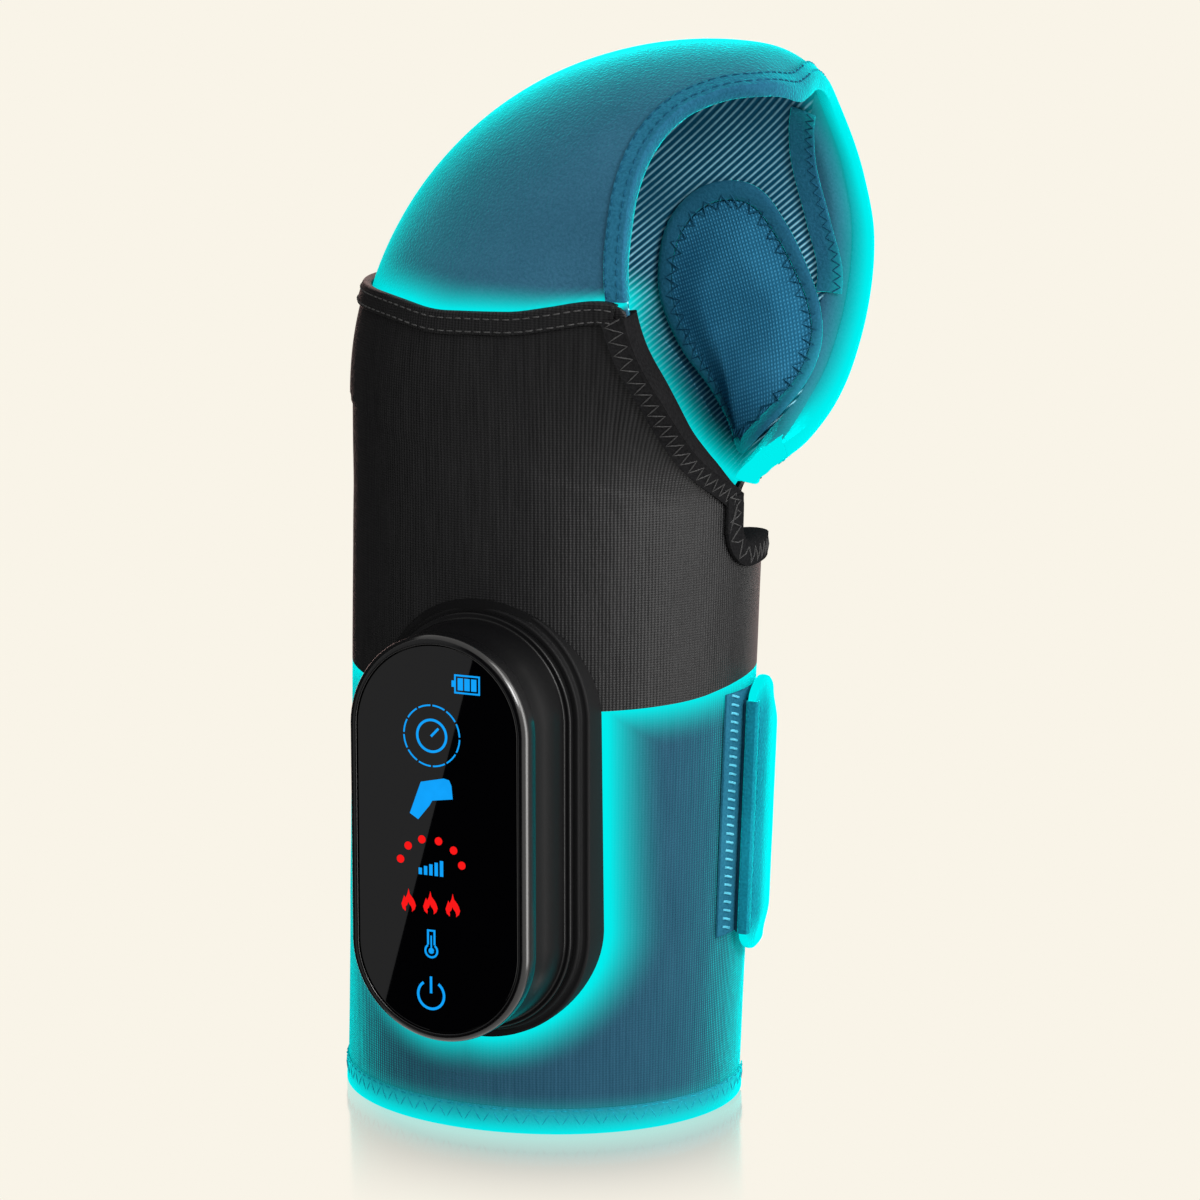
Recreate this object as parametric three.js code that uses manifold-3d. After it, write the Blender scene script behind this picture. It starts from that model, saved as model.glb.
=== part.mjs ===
// Heated knee massager: a fabric calf sleeve with a knee hood bent at a right angle, sewn from layers,
// and a touch controller clamped to its outer side. Millimetres, Z up, standing on its bottom hem.
// The knee cap faces -X, the thigh leaves towards +X, and the controller is on the -Y side.

import * as THREE from 'three';
import { mergeVertices } from 'three/addons/utils/BufferGeometryUtils.js';
import Module from 'manifold-3d';

const wasm = await Module();
wasm.setup();

// Leg form. A place on it is a turn, in half turns from the knee cap line with the controller side
// negative, and a rise, from 0 at the hem to 1 at the bend and 1 more for each right angle of bend.
const BEND_HEIGHT = 200;
const HEM_HALF_DEPTH = 64;
const HEM_HALF_WIDTH = 57.2;
const BEND_HALF_DEPTH = 65.6;
const BEND_HALF_WIDTH = 58;
const KNEE_HALF_WIDTH = 60;
const KNEE_SPREAD_SHARE = 0.66;
const LEAN = 5.8;
const FOLD_RADIUS = 14;
const PIVOT_X = LEAN + BEND_HALF_DEPTH + FOLD_RADIUS;
const CROWN_SETBACK = 25.2;
const CROWN_X = PIVOT_X - CROWN_SETBACK;
const CROWN_RISE = 29.6;
const CROWN_Z = BEND_HEIGHT + CROWN_RISE;
const CROWN_HALF_DEPTH = 121;
const CROWN_HALF_HEIGHT = 115;

// Fabric layers, from the hood's outer face
const CLEARANCE = 0.3;
const SHELL_THICKNESS = 1.5;
const LINING_THICKNESS = 1.2;
const FILM_THICKNESS = 0.8;
const LAYER_DEPTH = 6;
const SLEEVE_GAP = 0.7;
const TAPE_GAP = 0.5;
const TAPE_THICKNESS = 0.8;
const BINDING_WIDTH = 5.5;
const HEM_WIDTH = 8;
const TOP_HEM_WIDTH = 6;

// Closing flap and its fastener
const FLAP_LOW = 46;
const FLAP_HIGH = 142;
const FLAP_THICKNESS = 4.2;
const FLAP_ROOT_THICKNESS = 1.8;
const FLAP_EDGE_THICKNESS = 2.6;
const HOOK_THICKNESS = 1.2;
const LOOP_THICKNESS = 0.8;
const FASTENER_MARGIN = 7;
const FLAP_BAND_WIDTH = 5.5;

// Gel pack and pads inside the knee
const GEL_THICKNESS = 9;
const GEL_EDGE_THICKNESS = 2.4;
const GEL_SLACK = 1.4;
const POCKET_THICKNESS = 1;
const POCKET_SEAM = 4;
const POCKET_SLACK = 0.6;
const PAD_THICKNESS = 4;
const PAD_EDGE_THICKNESS = 1.2;
const BAND_WIDTH = 5.5;

// Controller
const CONTROLLER_X = 7;
const CONTROLLER_LEVEL_SHARE = 0.51;
const CONTROLLER_Z = CONTROLLER_LEVEL_SHARE * BEND_HEIGHT;
const PILL_STRAIGHT = 68;
const BASE_RADIUS = 37;
const BASE_STEP_RADIUS = 34.6;
const BASE_FRONT = 58;
const BASE_STEP = 2.4;
const HOUSING_LIP_RADIUS = 33.2;
const HOUSING_REAR_RADIUS = 31.4;
const HOUSING_FRONT_RADIUS = 29.6;
const HOUSING_LIP = 3;
const HOUSING_DEPTH = 21.6;
const WALL = 2;
const BEZEL_RADIUS = 30.8;
const BEZEL_DEPTH = 7.4;
const BEZEL_ROUND = 2.6;
const LENS_RADIUS = 27.6;
const LENS_THICKNESS = 1.8;
const LENS_RECESS = 0.5;
const LEDGE = 2.2;
const GASKET_THICKNESS = 1;
const MASK_THICKNESS = 1.4;
const BOARD_THICKNESS = 1.2;

const SCREW_RADIUS = 1.25;
const SCREW_HEAD_RADIUS = 2.1;
const SCREW_HEAD = 1.1;
const SCREW_BITE = 3.4;
const SCREW_SPREAD_X = 11;
const SCREW_INSET = 11.4;
const SCREW_SPREAD_Z = PILL_STRAIGHT / 2 + HOUSING_REAR_RADIUS - SCREW_INSET;
const BOSS_RADIUS = 2.9;
const BOSS_HEIGHT = 4.4;
const DUCT_RADIUS = 7;
const PLATE_THICKNESS = 1.5;
const PLATE_MARGIN = 6;

const RUBBER_ROUND = 0.8;
const STEP_ROUND = 0.5;
const LIP_ROUND = 0.6;
const LIP_SHOULDER = 0.4;
const FLOOR_ROUND = 1;
const BEZEL_CHAMFER = 0.8;
const BEZEL_DIP = 0.2;
const LENS_CHAMFER = 0.4;
const BOARD_INSET = 0.6;

const BATTERY_WIDTH = 40;
const BATTERY_LENGTH = 21.5;
const BATTERY_THICKNESS = 9;
const BATTERY_GAP = 1.5;
const BATTERY_START = 4;
const SECOND_CELL_INSET = 4;
const MAIN_BOARD_MARGIN = 2;
const MAIN_BOARD_START = 5;
const MOTOR_RADIUS = 7.8;
const MOTOR_LENGTH = 24;
const PUMP_SIZE = 16.4;
const PUMP_LENGTH = 17;
const PUMP_X = -12;
const PUMP_Z = -14;
const VALVE_SIZE = 11;
const VALVE_LENGTH = 17;
const VALVE_X = 13;
const VALVE_Z = -24;
const BUZZER_RADIUS = 5;
const BUZZER_HEIGHT = 4;
const BUZZER_X = 12;
const BUZZER_Z = -44;
const HOSE_RADIUS = 1.25;
const LEAD_RADIUS = 0.4;
const PORT_WIDTH = 9;
const PORT_HEIGHT = 3.2;
const PORT_DEPTH = 7;
const PORT_FROM_FLOOR = 9;
const PORT_WALL = 0.5;
const PORT_PROUD = 0.4;
const PORT_FLOOR = 1.2;
const TONGUE_THICKNESS = 0.7;
const TONGUE_MARGIN = 1.5;

// Facets
const TURN_STEP_SHARE = 0.05;
const ARC_STEPS = 28;
const CUT_OVERRUN = 5;

const colours = {
  shell: { color: 0x2b2c2f, roughness: 0.88, metalness: 0 },
  hood: { color: 0x1d5675, roughness: 0.85, metalness: 0 },
  lining: { color: 0x1f4c66, roughness: 0.9, metalness: 0 },
  binding: { color: 0x1c1d20, roughness: 0.8, metalness: 0 },
  blueBinding: { color: 0x1c4b68, roughness: 0.8, metalness: 0 },
  fastener: { color: 0x24262a, roughness: 0.95, metalness: 0 },
  bladder: { color: 0x8e9499, roughness: 0.4, metalness: 0 },
  film: { color: 0x8a5a22, roughness: 0.5, metalness: 0.1 },
  gel: { color: 0x0f6fc4, roughness: 0.12, metalness: 0 },
  rubber: { color: 0x17181a, roughness: 0.75, metalness: 0 },
  housing: { color: 0x1b1c1e, roughness: 0.42, metalness: 0 },
  bezel: { color: 0x101113, roughness: 0.22, metalness: 0 },
  glass: { color: 0x050506, roughness: 0.06, metalness: 0 },
  board: { color: 0x1c5a35, roughness: 0.5, metalness: 0 },
  steel: { color: 0xb9bcc0, roughness: 0.35, metalness: 1 },
  cell: { color: 0x3f5f9f, roughness: 0.45, metalness: 0 },
  whitePlastic: { color: 0xd8d8d4, roughness: 0.5, metalness: 0 },
  hose: { color: 0xcfd4d8, roughness: 0.35, metalness: 0 },
};

const massager = new THREE.Group();
const wrap = new THREE.Group();
const controller = new THREE.Group();
massager.add(wrap);
massager.add(controller);

// Plain helpers

function smooth(share) {
  const s = THREE.MathUtils.clamp(share, 0, 1);
  return s * s * (3 - 2 * s);
}

function closed(geometry) {
  let g = geometry.clone();
  g.deleteAttribute('normal');
  g.deleteAttribute('uv');
  g = mergeVertices(g, 1e-3);
  const p = g.getAttribute('position');
  const faces = [];
  let volume = 0;
  const [a, b, c] = [new THREE.Vector3(), new THREE.Vector3(), new THREE.Vector3()];
  for (let i = 0; i < g.index.count; i += 3) {
    const corners = [g.index.getX(i), g.index.getX(i + 1), g.index.getX(i + 2)];
    if (new Set(corners).size < 3) {
      continue;
    }
    faces.push(corners);
    a.fromBufferAttribute(p, corners[0]);
    b.fromBufferAttribute(p, corners[1]);
    c.fromBufferAttribute(p, corners[2]);
    volume += a.dot(b.cross(c));
  }
  const outward = faces.map((f) => (volume < 0 ? [f[0], f[2], f[1]] : f));
  g.setIndex(outward.flat());
  return g;
}

function fromManifold(solid) {
  const mesh = solid.getMesh();
  const g = new THREE.BufferGeometry();
  g.setAttribute('position', new THREE.BufferAttribute(new Float32Array(mesh.vertProperties), 3));
  g.setIndex(Array.from(mesh.triVerts));
  return g;
}

function toManifold(geometry) {
  const g = closed(geometry);
  return new wasm.Manifold(new wasm.Mesh({
    numProp: 3,
    vertProperties: new Float32Array(g.getAttribute('position').array),
    triVerts: new Uint32Array(g.index.array),
  }));
}

function cut(body, ...tools) {
  const solid = tools.reduce((rest, tool) => rest.subtract(toManifold(tool)), toManifold(body));
  return fromManifold(solid);
}

function join(body, ...others) {
  const solid = others.reduce((rest, other) => rest.add(toManifold(other)), toManifold(body));
  return fromManifold(solid);
}

function keep(body, region) {
  return fromManifold(toManifold(body).intersect(toManifold(region)));
}

function piece(group, name, geometry, look) {
  const mesh = new THREE.Mesh(closed(geometry), new THREE.MeshStandardMaterial(look));
  mesh.name = name;
  group.add(mesh);
  return mesh;
}

// The leg form

function crownDistance(bend) {
  const [c, s] = [Math.cos(bend), Math.sin(bend)];
  const straight = (2 * BEND_HALF_DEPTH + FOLD_RADIUS) / Math.max(c, 1e-6);
  if (BEND_HEIGHT + straight * s <= CROWN_Z) {
    return straight;
  }
  const [dx, dz] = [PIVOT_X - CROWN_X, BEND_HEIGHT - CROWN_Z];
  const [rx, rz] = [CROWN_HALF_DEPTH ** 2, CROWN_HALF_HEIGHT ** 2];
  const square = c * c / rx + s * s / rz;
  const middle = -c * dx / rx + s * dz / rz;
  const rest = dx * dx / rx + dz * dz / rz - 1;
  return (-middle + Math.sqrt(middle * middle - square * rest)) / square;
}

function section(rise) {
  const spread = smooth((rise - 1) / KNEE_SPREAD_SHARE);
  if (rise <= 1) {
    return {
      bend: 0,
      centre: new THREE.Vector3(LEAN * rise, 0, BEND_HEIGHT * rise),
      depth: THREE.MathUtils.lerp(HEM_HALF_DEPTH, BEND_HALF_DEPTH, rise),
      width: THREE.MathUtils.lerp(HEM_HALF_WIDTH, BEND_HALF_WIDTH, rise),
    };
  }
  const bend = (rise - 1) * Math.PI / 2;
  const depth = (crownDistance(bend) - FOLD_RADIUS) / 2;
  const reach = FOLD_RADIUS + depth;
  return {
    bend,
    centre: new THREE.Vector3(
      PIVOT_X - Math.cos(bend) * reach,
      0,
      BEND_HEIGHT + Math.sin(bend) * reach,
    ),
    depth,
    width: THREE.MathUtils.lerp(BEND_HALF_WIDTH, KNEE_HALF_WIDTH, spread),
  };
}

function legPoint(turn, rise, lift = 0) {
  const { bend, centre, depth, width } = section(rise);
  const angle = Math.PI * turn;
  const [c, s] = [Math.cos(angle), Math.sin(angle)];
  const normal = new THREE.Vector2(c / depth, s / width).normalize();
  const forward = depth * c + lift * normal.x;
  return new THREE.Vector3(
    centre.x - Math.cos(bend) * forward,
    width * s + lift * normal.y,
    centre.z + Math.sin(bend) * forward,
  );
}

// How far a turn or a rise changes over a distance on the leg form
const PROBE_SHARE = 1e-4;

function turnFor(turn, rise, distance) {
  return distance * PROBE_SHARE / legPoint(turn, rise).distanceTo(legPoint(turn + PROBE_SHARE, rise));
}

function riseFor(turn, rise, distance) {
  return distance * PROBE_SHARE / legPoint(turn, rise).distanceTo(legPoint(turn, rise + PROBE_SHARE));
}

// A curve through a table of [turn, rise] places, read by its turn
function curveAt(table, turn) {
  const last = table.length - 1;
  let i = 0;
  while (i < last - 1 && turn > table[i + 1][0]) {
    i += 1;
  }
  const share = THREE.MathUtils.clamp((turn - table[i][0]) / (table[i + 1][0] - table[i][0]), 0, 1);
  const slope = (k) => {
    const [low, high] = [table[Math.max(k - 1, 0)], table[Math.min(k + 1, last)]];
    return (high[1] - low[1]) / (high[0] - low[0]);
  };
  const span = table[i + 1][0] - table[i][0];
  const [s2, s3] = [share * share, share * share * share];
  const before = table[i][1] * (2 * s3 - 3 * s2 + 1) + table[i + 1][1] * (3 * s2 - 2 * s3);
  return before + span * (slope(i) * (s3 - 2 * s2 + share) + slope(i + 1) * (s3 - s2));
}

function columns(from, to, extra = []) {
  const regular = [];
  const first = Math.ceil((from + TURN_STEP_SHARE / 4) / TURN_STEP_SHARE);
  for (let i = first; i * TURN_STEP_SHARE < to - TURN_STEP_SHARE / 4; i += 1) {
    regular.push(i * TURN_STEP_SHARE);
  }
  return [from, ...regular, ...extra, to].sort((a, b) => a - b);
}

// A sewn layer: a closed sheet over a patch of the leg form, between two lifts
function sheet(turns, rows, low, high, inner, outer, place = legPoint) {
  const [m, n] = [turns.length, rows.length];
  const positions = [];
  for (const lift of [inner, outer]) {
    for (let i = 0; i < m; i += 1) {
      for (let j = 0; j < n; j += 1) {
        const across = (turns[i] - turns[0]) / (turns[m - 1] - turns[0]);
        const rise = THREE.MathUtils.lerp(low(turns[i]), high(turns[i]), rows[j]);
        positions.push(...place(turns[i], rise, lift(across, rows[j])).toArray());
      }
    }
  }
  const at = (k, i, j) => k * m * n + i * n + j;
  const faces = [];
  const quad = (a, b, c, d) => faces.push(a, b, c, a, c, d);
  for (let i = 0; i < m - 1; i += 1) {
    for (let j = 0; j < n - 1; j += 1) {
      quad(at(1, i, j), at(1, i, j + 1), at(1, i + 1, j + 1), at(1, i + 1, j));
      quad(at(0, i, j), at(0, i + 1, j), at(0, i + 1, j + 1), at(0, i, j + 1));
    }
    quad(at(0, i, 0), at(1, i, 0), at(1, i + 1, 0), at(0, i + 1, 0));
    quad(at(0, i, n - 1), at(0, i + 1, n - 1), at(1, i + 1, n - 1), at(1, i, n - 1));
  }
  for (let j = 0; j < n - 1; j += 1) {
    quad(at(0, 0, j), at(0, 0, j + 1), at(1, 0, j + 1), at(1, 0, j));
    quad(at(0, m - 1, j), at(1, m - 1, j), at(1, m - 1, j + 1), at(0, m - 1, j + 1));
  }
  const g = new THREE.BufferGeometry();
  g.setAttribute('position', new THREE.Float32BufferAttribute(positions, 3));
  g.setIndex(faces);
  return g;
}

const level = (value) => () => value;

// A tape sewn along a path of [turn, rise] places. Each profile point is a distance to the left of the
// path, along the surface, and a lift.
function tape(path, profile, loop = false) {
  const count = path.length;
  const rings = path.map(([turn, rise], i) => {
    const before = path[loop ? (i + count - 1) % count : Math.max(i - 1, 0)];
    const after = path[loop ? (i + 1) % count : Math.min(i + 1, count - 1)];
    const [unitTurn, unitRise] = [turnFor(turn, rise, 1), riseFor(turn, rise, 1)];
    const along = new THREE.Vector2((after[0] - before[0]) / unitTurn, (after[1] - before[1]) / unitRise);
    along.normalize();
    return profile.map(([side, lift]) => legPoint(
      turn - along.y * side * unitTurn,
      rise + along.x * side * unitRise,
      lift,
    ));
  });
  return loft(rings, loop);
}

// Skins over a row of rings with the same number of points
function loft(rings, loop = false) {
  const count = rings[0].length;
  const positions = rings.flat().flatMap((p) => p.toArray());
  const faces = [];
  const spans = loop ? rings.length : rings.length - 1;
  for (let i = 0; i < spans; i += 1) {
    const [near, far] = [i * count, ((i + 1) % rings.length) * count];
    for (let j = 0; j < count; j += 1) {
      const k = (j + 1) % count;
      faces.push(near + j, near + k, far + k, near + j, far + k, far + j);
    }
  }
  if (!loop) {
    const outline = rings[0].map((p) => p.clone());
    const [caps, start] = [capFaces(outline), (rings.length - 1) * count];
    for (const [a, b, c] of caps) {
      faces.push(a, c, b, start + a, start + b, start + c);
    }
  }
  const g = new THREE.BufferGeometry();
  g.setAttribute('position', new THREE.Float32BufferAttribute(positions, 3));
  g.setIndex(faces);
  return g;
}

// Triangles over a flat ring of points, as the ring runs
function capFaces(ring) {
  const normal = new THREE.Vector3();
  const cross = new THREE.Vector3();
  ring.forEach((p, i) => {
    normal.add(cross.crossVectors(p, ring[(i + 1) % ring.length]));
  });
  normal.normalize();
  const across = new THREE.Vector3().subVectors(ring[1], ring[0]).normalize();
  const up = new THREE.Vector3().crossVectors(normal, across);
  const flat = ring.map((p) => new THREE.Vector2(p.dot(across), p.dot(up)));
  return THREE.ShapeUtils.triangulateShape(flat, []);
}

// A padded island sewn on the leg form, inside an outline of [turn, rise] places
function island(outline, centre, shares, base, crown) {
  const count = outline.length;
  const place = ([turn, rise], share, lift) => legPoint(
    THREE.MathUtils.lerp(centre[0], turn, share),
    THREE.MathUtils.lerp(centre[1], rise, share),
    lift,
  );
  const rings = shares.map((share) => outline.map((p) => place(p, share, crown(share))));
  const under = [...shares].reverse().map((share) => outline.map((p) => place(p, share, base)));
  const all = [...rings, ...under];
  if (shares[0] > 0) {
    return loft(all, true);
  }
  const positions = all.flat().flatMap((p) => p.toArray());
  const faces = [];
  for (let i = 0; i < all.length - 1; i += 1) {
    for (let j = 0; j < count; j += 1) {
      const k = (j + 1) % count;
      const [near, far] = [i * count, (i + 1) * count];
      faces.push(near + j, far + j, far + k, near + j, far + k, near + k);
    }
  }
  const g = new THREE.BufferGeometry();
  g.setAttribute('position', new THREE.Float32BufferAttribute(positions, 3));
  g.setIndex(faces);
  return g;
}

function smoothOutline(shares, count) {
  const points = shares.map(([turn, rise]) => new THREE.Vector3(turn, rise, 0));
  const curve = new THREE.CatmullRomCurve3(points, true, 'centripetal');
  return curve.getPoints(count).slice(0, count).map((p) => [p.x, p.y]);
}

// Lines of the pattern, as [turn, rise] shares. The sleeve runs from its lateral end, past the fold
// behind the knee, round the controller side and the front to its medial end.
const LATERAL_END_SHARE = -1.105;
const MEDIAL_END_SHARE = 0.875;
const NOTCH_SIDE_SHARE = -0.955;
const NOTCH_LEVEL_SHARE = 0.93;
const rimShares = [
  [-0.95, 1.2], [-0.893, 1.42], [-0.78, 1.61], [-0.706, 1.68], [-0.617, 1.71], [-0.55, 1.74],
  [-0.444, 1.8], [-0.383, 1.828], [-0.306, 1.867], [-0.244, 1.911], [-0.2, 1.96], [-0.16, 2.01],
  [-0.1, 2.03], [0, 2.03], [0.11, 2.015], [0.25, 2.0], [0.39, 2.02], [0.49, 2.04], [0.667, 2.048],
  [0.78, 2.03], [0.84, 1.96], [0.875, 1.86],
];
const seamShares = [
  [-0.95, 1.08], [-0.8, 1.1], [-0.65, 1.28], [-0.5, 1.36], [-0.333, 1.25], [-0.167, 1.21], [0, 1.2],
  [0.167, 1.21], [0.333, 1.25], [0.5, 1.36], [0.65, 1.28], [0.8, 1.1], [0.875, 1.06],
];
const sleeveTopShares = [
  [-0.55, 1.74], [-0.535, 1.7], [-0.507, 1.57], [-0.473, 1.48], [-0.397, 1.385], [-0.333, 1.345],
  [-0.167, 1.29], [0, 1.274], [0.167, 1.29], [0.333, 1.345], [0.397, 1.385], [0.473, 1.48],
  [0.507, 1.57], [0.535, 1.7], [0.55, 1.74],
];
const medialSideShares = [[0.55, 1.74], [0.617, 1.71], [0.706, 1.68], [0.78, 1.61], [0.875, 1.5]];
const CORNER_SHARE = 0.55;
const JOINT_SHARE = 0.01;
const KNEE_PATCH_SHARE = 0.3;

const rim = (turn) => curveAt(rimShares, turn);
const seam = (turn) => curveAt(seamShares, turn);

// The medial wing of the hood reaches further round the leg than the sleeve's medial end below it
const WING_ROOT_SHARE = 0.7;
const SLEEVE_CUT_SHARE = 0.14;
const WING_REACH_SHARE = 0.05;
const sleeveCutShares = [0.97, 1.06];
const wingShares = [1.06, 1.5];

function wingTurn(turn, rise) {
  const across = Math.max(turn - WING_ROOT_SHARE, 0) / (MEDIAL_END_SHARE - WING_ROOT_SHARE);
  const along = ([from, to]) => smooth((rise - from) / (to - from));
  const cutBack = SLEEVE_CUT_SHARE * (1 - along(sleeveCutShares));
  return turn + across * (WING_REACH_SHARE * along(wingShares) - cutBack);
}

const wingPoint = (turn, rise, lift) => legPoint(wingTurn(turn, rise), rise, lift);

function sleeveTop(turn) {
  if (turn < NOTCH_SIDE_SHARE) {
    return NOTCH_LEVEL_SHARE;
  }
  if (turn < -CORNER_SHARE) {
    return rim(Math.max(turn, rimShares[0][0]));
  }
  return turn < CORNER_SHARE ? curveAt(sleeveTopShares, turn) : curveAt(medialSideShares, turn);
}

// Lifts of the layers
const sleeveInner = SLEEVE_GAP;
const sleeveOuter = sleeveInner + SHELL_THICKNESS;
const liningInner = -LAYER_DEPTH;
const liningOuter = liningInner + LINING_THICKNESS;
const filmInner = liningOuter + CLEARANCE;
const filmOuter = filmInner + FILM_THICKNESS;
const outsideTape = sleeveOuter + TAPE_GAP;
const insideTape = liningInner - TAPE_GAP;

const sleeveRowShares = [0, 0.35, 0.62, 0.64, 0.66, 0.68, 0.7, 0.78, 0.86, 0.93, 1];
const hoodRowShares = [0, 0.1, 0.2, 0.325, 0.45, 0.575, 0.7, 0.83, 0.94, 1];
const liningRowShares = [0, 0.4, 0.75, 0.85, 0.93, 1];
const notchColumnShares = [-1.03, -0.959, -0.949];
const cornerColumnShares = [
  -0.93, -0.915, 0.825, 0.86, -0.56, -CORNER_SHARE, -0.542, -0.525, 0.525, 0.542, CORNER_SHARE, 0.56,
];
const TOP_HEM_END_SHARE = 0.528;
const TOP_HEM_LAST_SHARE = 0.515;
const SIDE_EDGE_START_SHARE = -0.945;

// Round holes through the sleeve under the controller
function boreAt(x, z, radius) {
  const bore = new THREE.CylinderGeometry(radius, radius, BASE_FRONT, ARC_STEPS / 2);
  bore.translate(x, -BASE_FRONT + BASE_FRONT / 4, z);
  return bore;
}

function screwPlaces() {
  const places = [];
  for (const side of [-1, 1]) {
    for (const end of [-1, 1]) {
      places.push([CONTROLLER_X + side * SCREW_SPREAD_X, CONTROLLER_Z + end * SCREW_SPREAD_Z]);
    }
  }
  return places;
}

function controllerBores(extra) {
  const bores = screwPlaces().map(([x, z]) => boreAt(x, z, SCREW_RADIUS + extra));
  return [...bores, boreAt(CONTROLLER_X, CONTROLLER_Z, DUCT_RADIUS + extra)];
}

// Calf sleeve

function makeSleeve() {
  const turns = columns(LATERAL_END_SHARE, MEDIAL_END_SHARE, [...notchColumnShares, ...cornerColumnShares]);
  const shell = sheet(turns, sleeveRowShares, level(0), sleeveTop, level(sleeveInner), level(sleeveOuter),
    wingPoint);
  piece(wrap, 'calf_shell', cut(shell, ...controllerBores(CLEARANCE)), colours.shell);

  const liningTurns = columns(LATERAL_END_SHARE, MEDIAL_END_SHARE, notchColumnShares);
  const liningTop = (turn) => {
    if (turn < NOTCH_SIDE_SHARE) {
      return NOTCH_LEVEL_SHARE;
    }
    const line = seam(Math.max(turn, seamShares[0][0]));
    return line - riseFor(turn, line, CLEARANCE);
  };
  const lining = sheet(liningTurns, liningRowShares, level(0), liningTop, level(liningInner),
    level(liningOuter), wingPoint);
  piece(wrap, 'calf_lining', lining, colours.lining);
}

const innersTurnShares = [-0.2, 0.6];
const innersRiseShares = [0.14, 0.86];
const WELD_SHARE = 0.03;
const FILM_INSET_SHARE = 0.05;

function makeSleeveInners() {
  const [from, to] = innersTurnShares;
  const [low, high] = innersRiseShares;
  const rowShares = [0, 2 * WELD_SHARE, 0.5, 1 - 2 * WELD_SHARE, 1];
  const weld = WELD_SHARE * (to - from);
  const turns = columns(from, to, [from + weld, to - weld]);
  const bladderInner = filmOuter + CLEARANCE;
  const swell = (across, up) => {
    const edgeShare = Math.min(across, 1 - across, up, 1 - up);
    return THREE.MathUtils.lerp(bladderInner + FILM_THICKNESS, 0, smooth(edgeShare / WELD_SHARE));
  };
  piece(wrap, 'calf_air_bladder',
    sheet(turns, rowShares, level(low), level(high), level(bladderInner), swell), colours.bladder);
  piece(wrap, 'calf_heating_film',
    sheet(columns(from + FILM_INSET_SHARE, to - FILM_INSET_SHARE), [0, 1], level(low + FILM_INSET_SHARE),
      level(high - FILM_INSET_SHARE), level(filmInner), level(filmOuter)), colours.film);
}

// The binding's section: two legs over the edge of the layers, joined past the edge
function bindingProfile(inner, outer, width) {
  const skin = TAPE_THICKNESS;
  const edge = -CLEARANCE;
  return [
    [width, inner - skin], [edge - skin, inner - skin], [edge - skin, outer + skin],
    [width, outer + skin], [width, outer], [edge, outer], [edge, inner], [width, inner],
  ];
}

const mirrored = (profile) => profile.map(([side, lift]) => [-side, lift]);

function makeBindings() {
  const around = columns(LATERAL_END_SHARE, MEDIAL_END_SHARE);
  const hemLine = around.map((turn) => [wingTurn(turn, 0), 0]);
  piece(wrap, 'bottom_hem_binding',
    tape(hemLine, bindingProfile(insideTape, outsideTape, HEM_WIDTH)), colours.blueBinding);

  const topLine = columns(-TOP_HEM_END_SHARE, TOP_HEM_END_SHARE, [-TOP_HEM_LAST_SHARE, TOP_HEM_LAST_SHARE])
    .map((turn) => [turn, sleeveTop(turn)]);
  const folded = [
    [TOP_HEM_WIDTH, outsideTape], [-CLEARANCE, outsideTape], [-CLEARANCE, sleeveInner],
    [-CLEARANCE - TAPE_THICKNESS, sleeveInner], [-CLEARANCE - TAPE_THICKNESS, outsideTape + TAPE_THICKNESS],
    [TOP_HEM_WIDTH, outsideTape + TAPE_THICKNESS],
  ];
  piece(wrap, 'calf_top_hem', tape(topLine, mirrored(folded)), colours.binding);

  const sideLine = columns(SIDE_EDGE_START_SHARE, -CORNER_SHARE - JOINT_SHARE, cornerColumnShares.slice(0, 2))
    .map((turn) => [turn, rim(turn)]);
  piece(wrap, 'side_edge_binding',
    tape(sideLine, mirrored(bindingProfile(insideTape, outsideTape, BINDING_WIDTH))), colours.binding);

  const notchLine = [];
  for (let turn = LATERAL_END_SHARE; turn < NOTCH_SIDE_SHARE - JOINT_SHARE; turn += TURN_STEP_SHARE / 2) {
    notchLine.push([turn, NOTCH_LEVEL_SHARE]);
  }
  piece(wrap, 'notch_binding',
    tape(notchLine, mirrored(bindingProfile(insideTape, outsideTape, BINDING_WIDTH))), colours.binding);
}

// Knee hood

function makeHood() {
  const [from, to] = [rimShares[0][0], MEDIAL_END_SHARE];
  const turns = columns(from, to, cornerColumnShares);
  const above = (turn) => {
    const line = seam(turn);
    return line + riseFor(turn, line, CLEARANCE);
  };
  piece(wrap, 'hood_shell',
    sheet(turns, hoodRowShares, above, rim, level(-SHELL_THICKNESS), level(0), wingPoint), colours.hood);
  piece(wrap, 'hood_lining',
    sheet(turns, hoodRowShares, above, rim, level(liningInner), level(liningOuter), wingPoint),
    colours.lining);

  const rimLine = turns.filter((turn) => turn > -CORNER_SHARE + JOINT_SHARE)
    .map((turn) => [wingTurn(turn, rim(turn)), rim(turn)]);
  piece(wrap, 'hood_rim_binding',
    tape(rimLine, mirrored(bindingProfile(insideTape, TAPE_GAP, BINDING_WIDTH))), colours.blueBinding);

  const kneeTurns = columns(-KNEE_PATCH_SHARE, KNEE_PATCH_SHARE);
  const kneeRows = hoodRowShares.slice(1, -1);
  piece(wrap, 'knee_heating_film',
    sheet(kneeTurns, kneeRows, above, rim, level(filmInner), level(filmOuter)), colours.film);
  piece(wrap, 'knee_air_bladder',
    sheet(kneeTurns, kneeRows, above, rim, level(filmOuter + CLEARANCE), level(-SHELL_THICKNESS - CLEARANCE)),
    colours.bladder);
}

// Pad and band inside the medial wall

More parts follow.
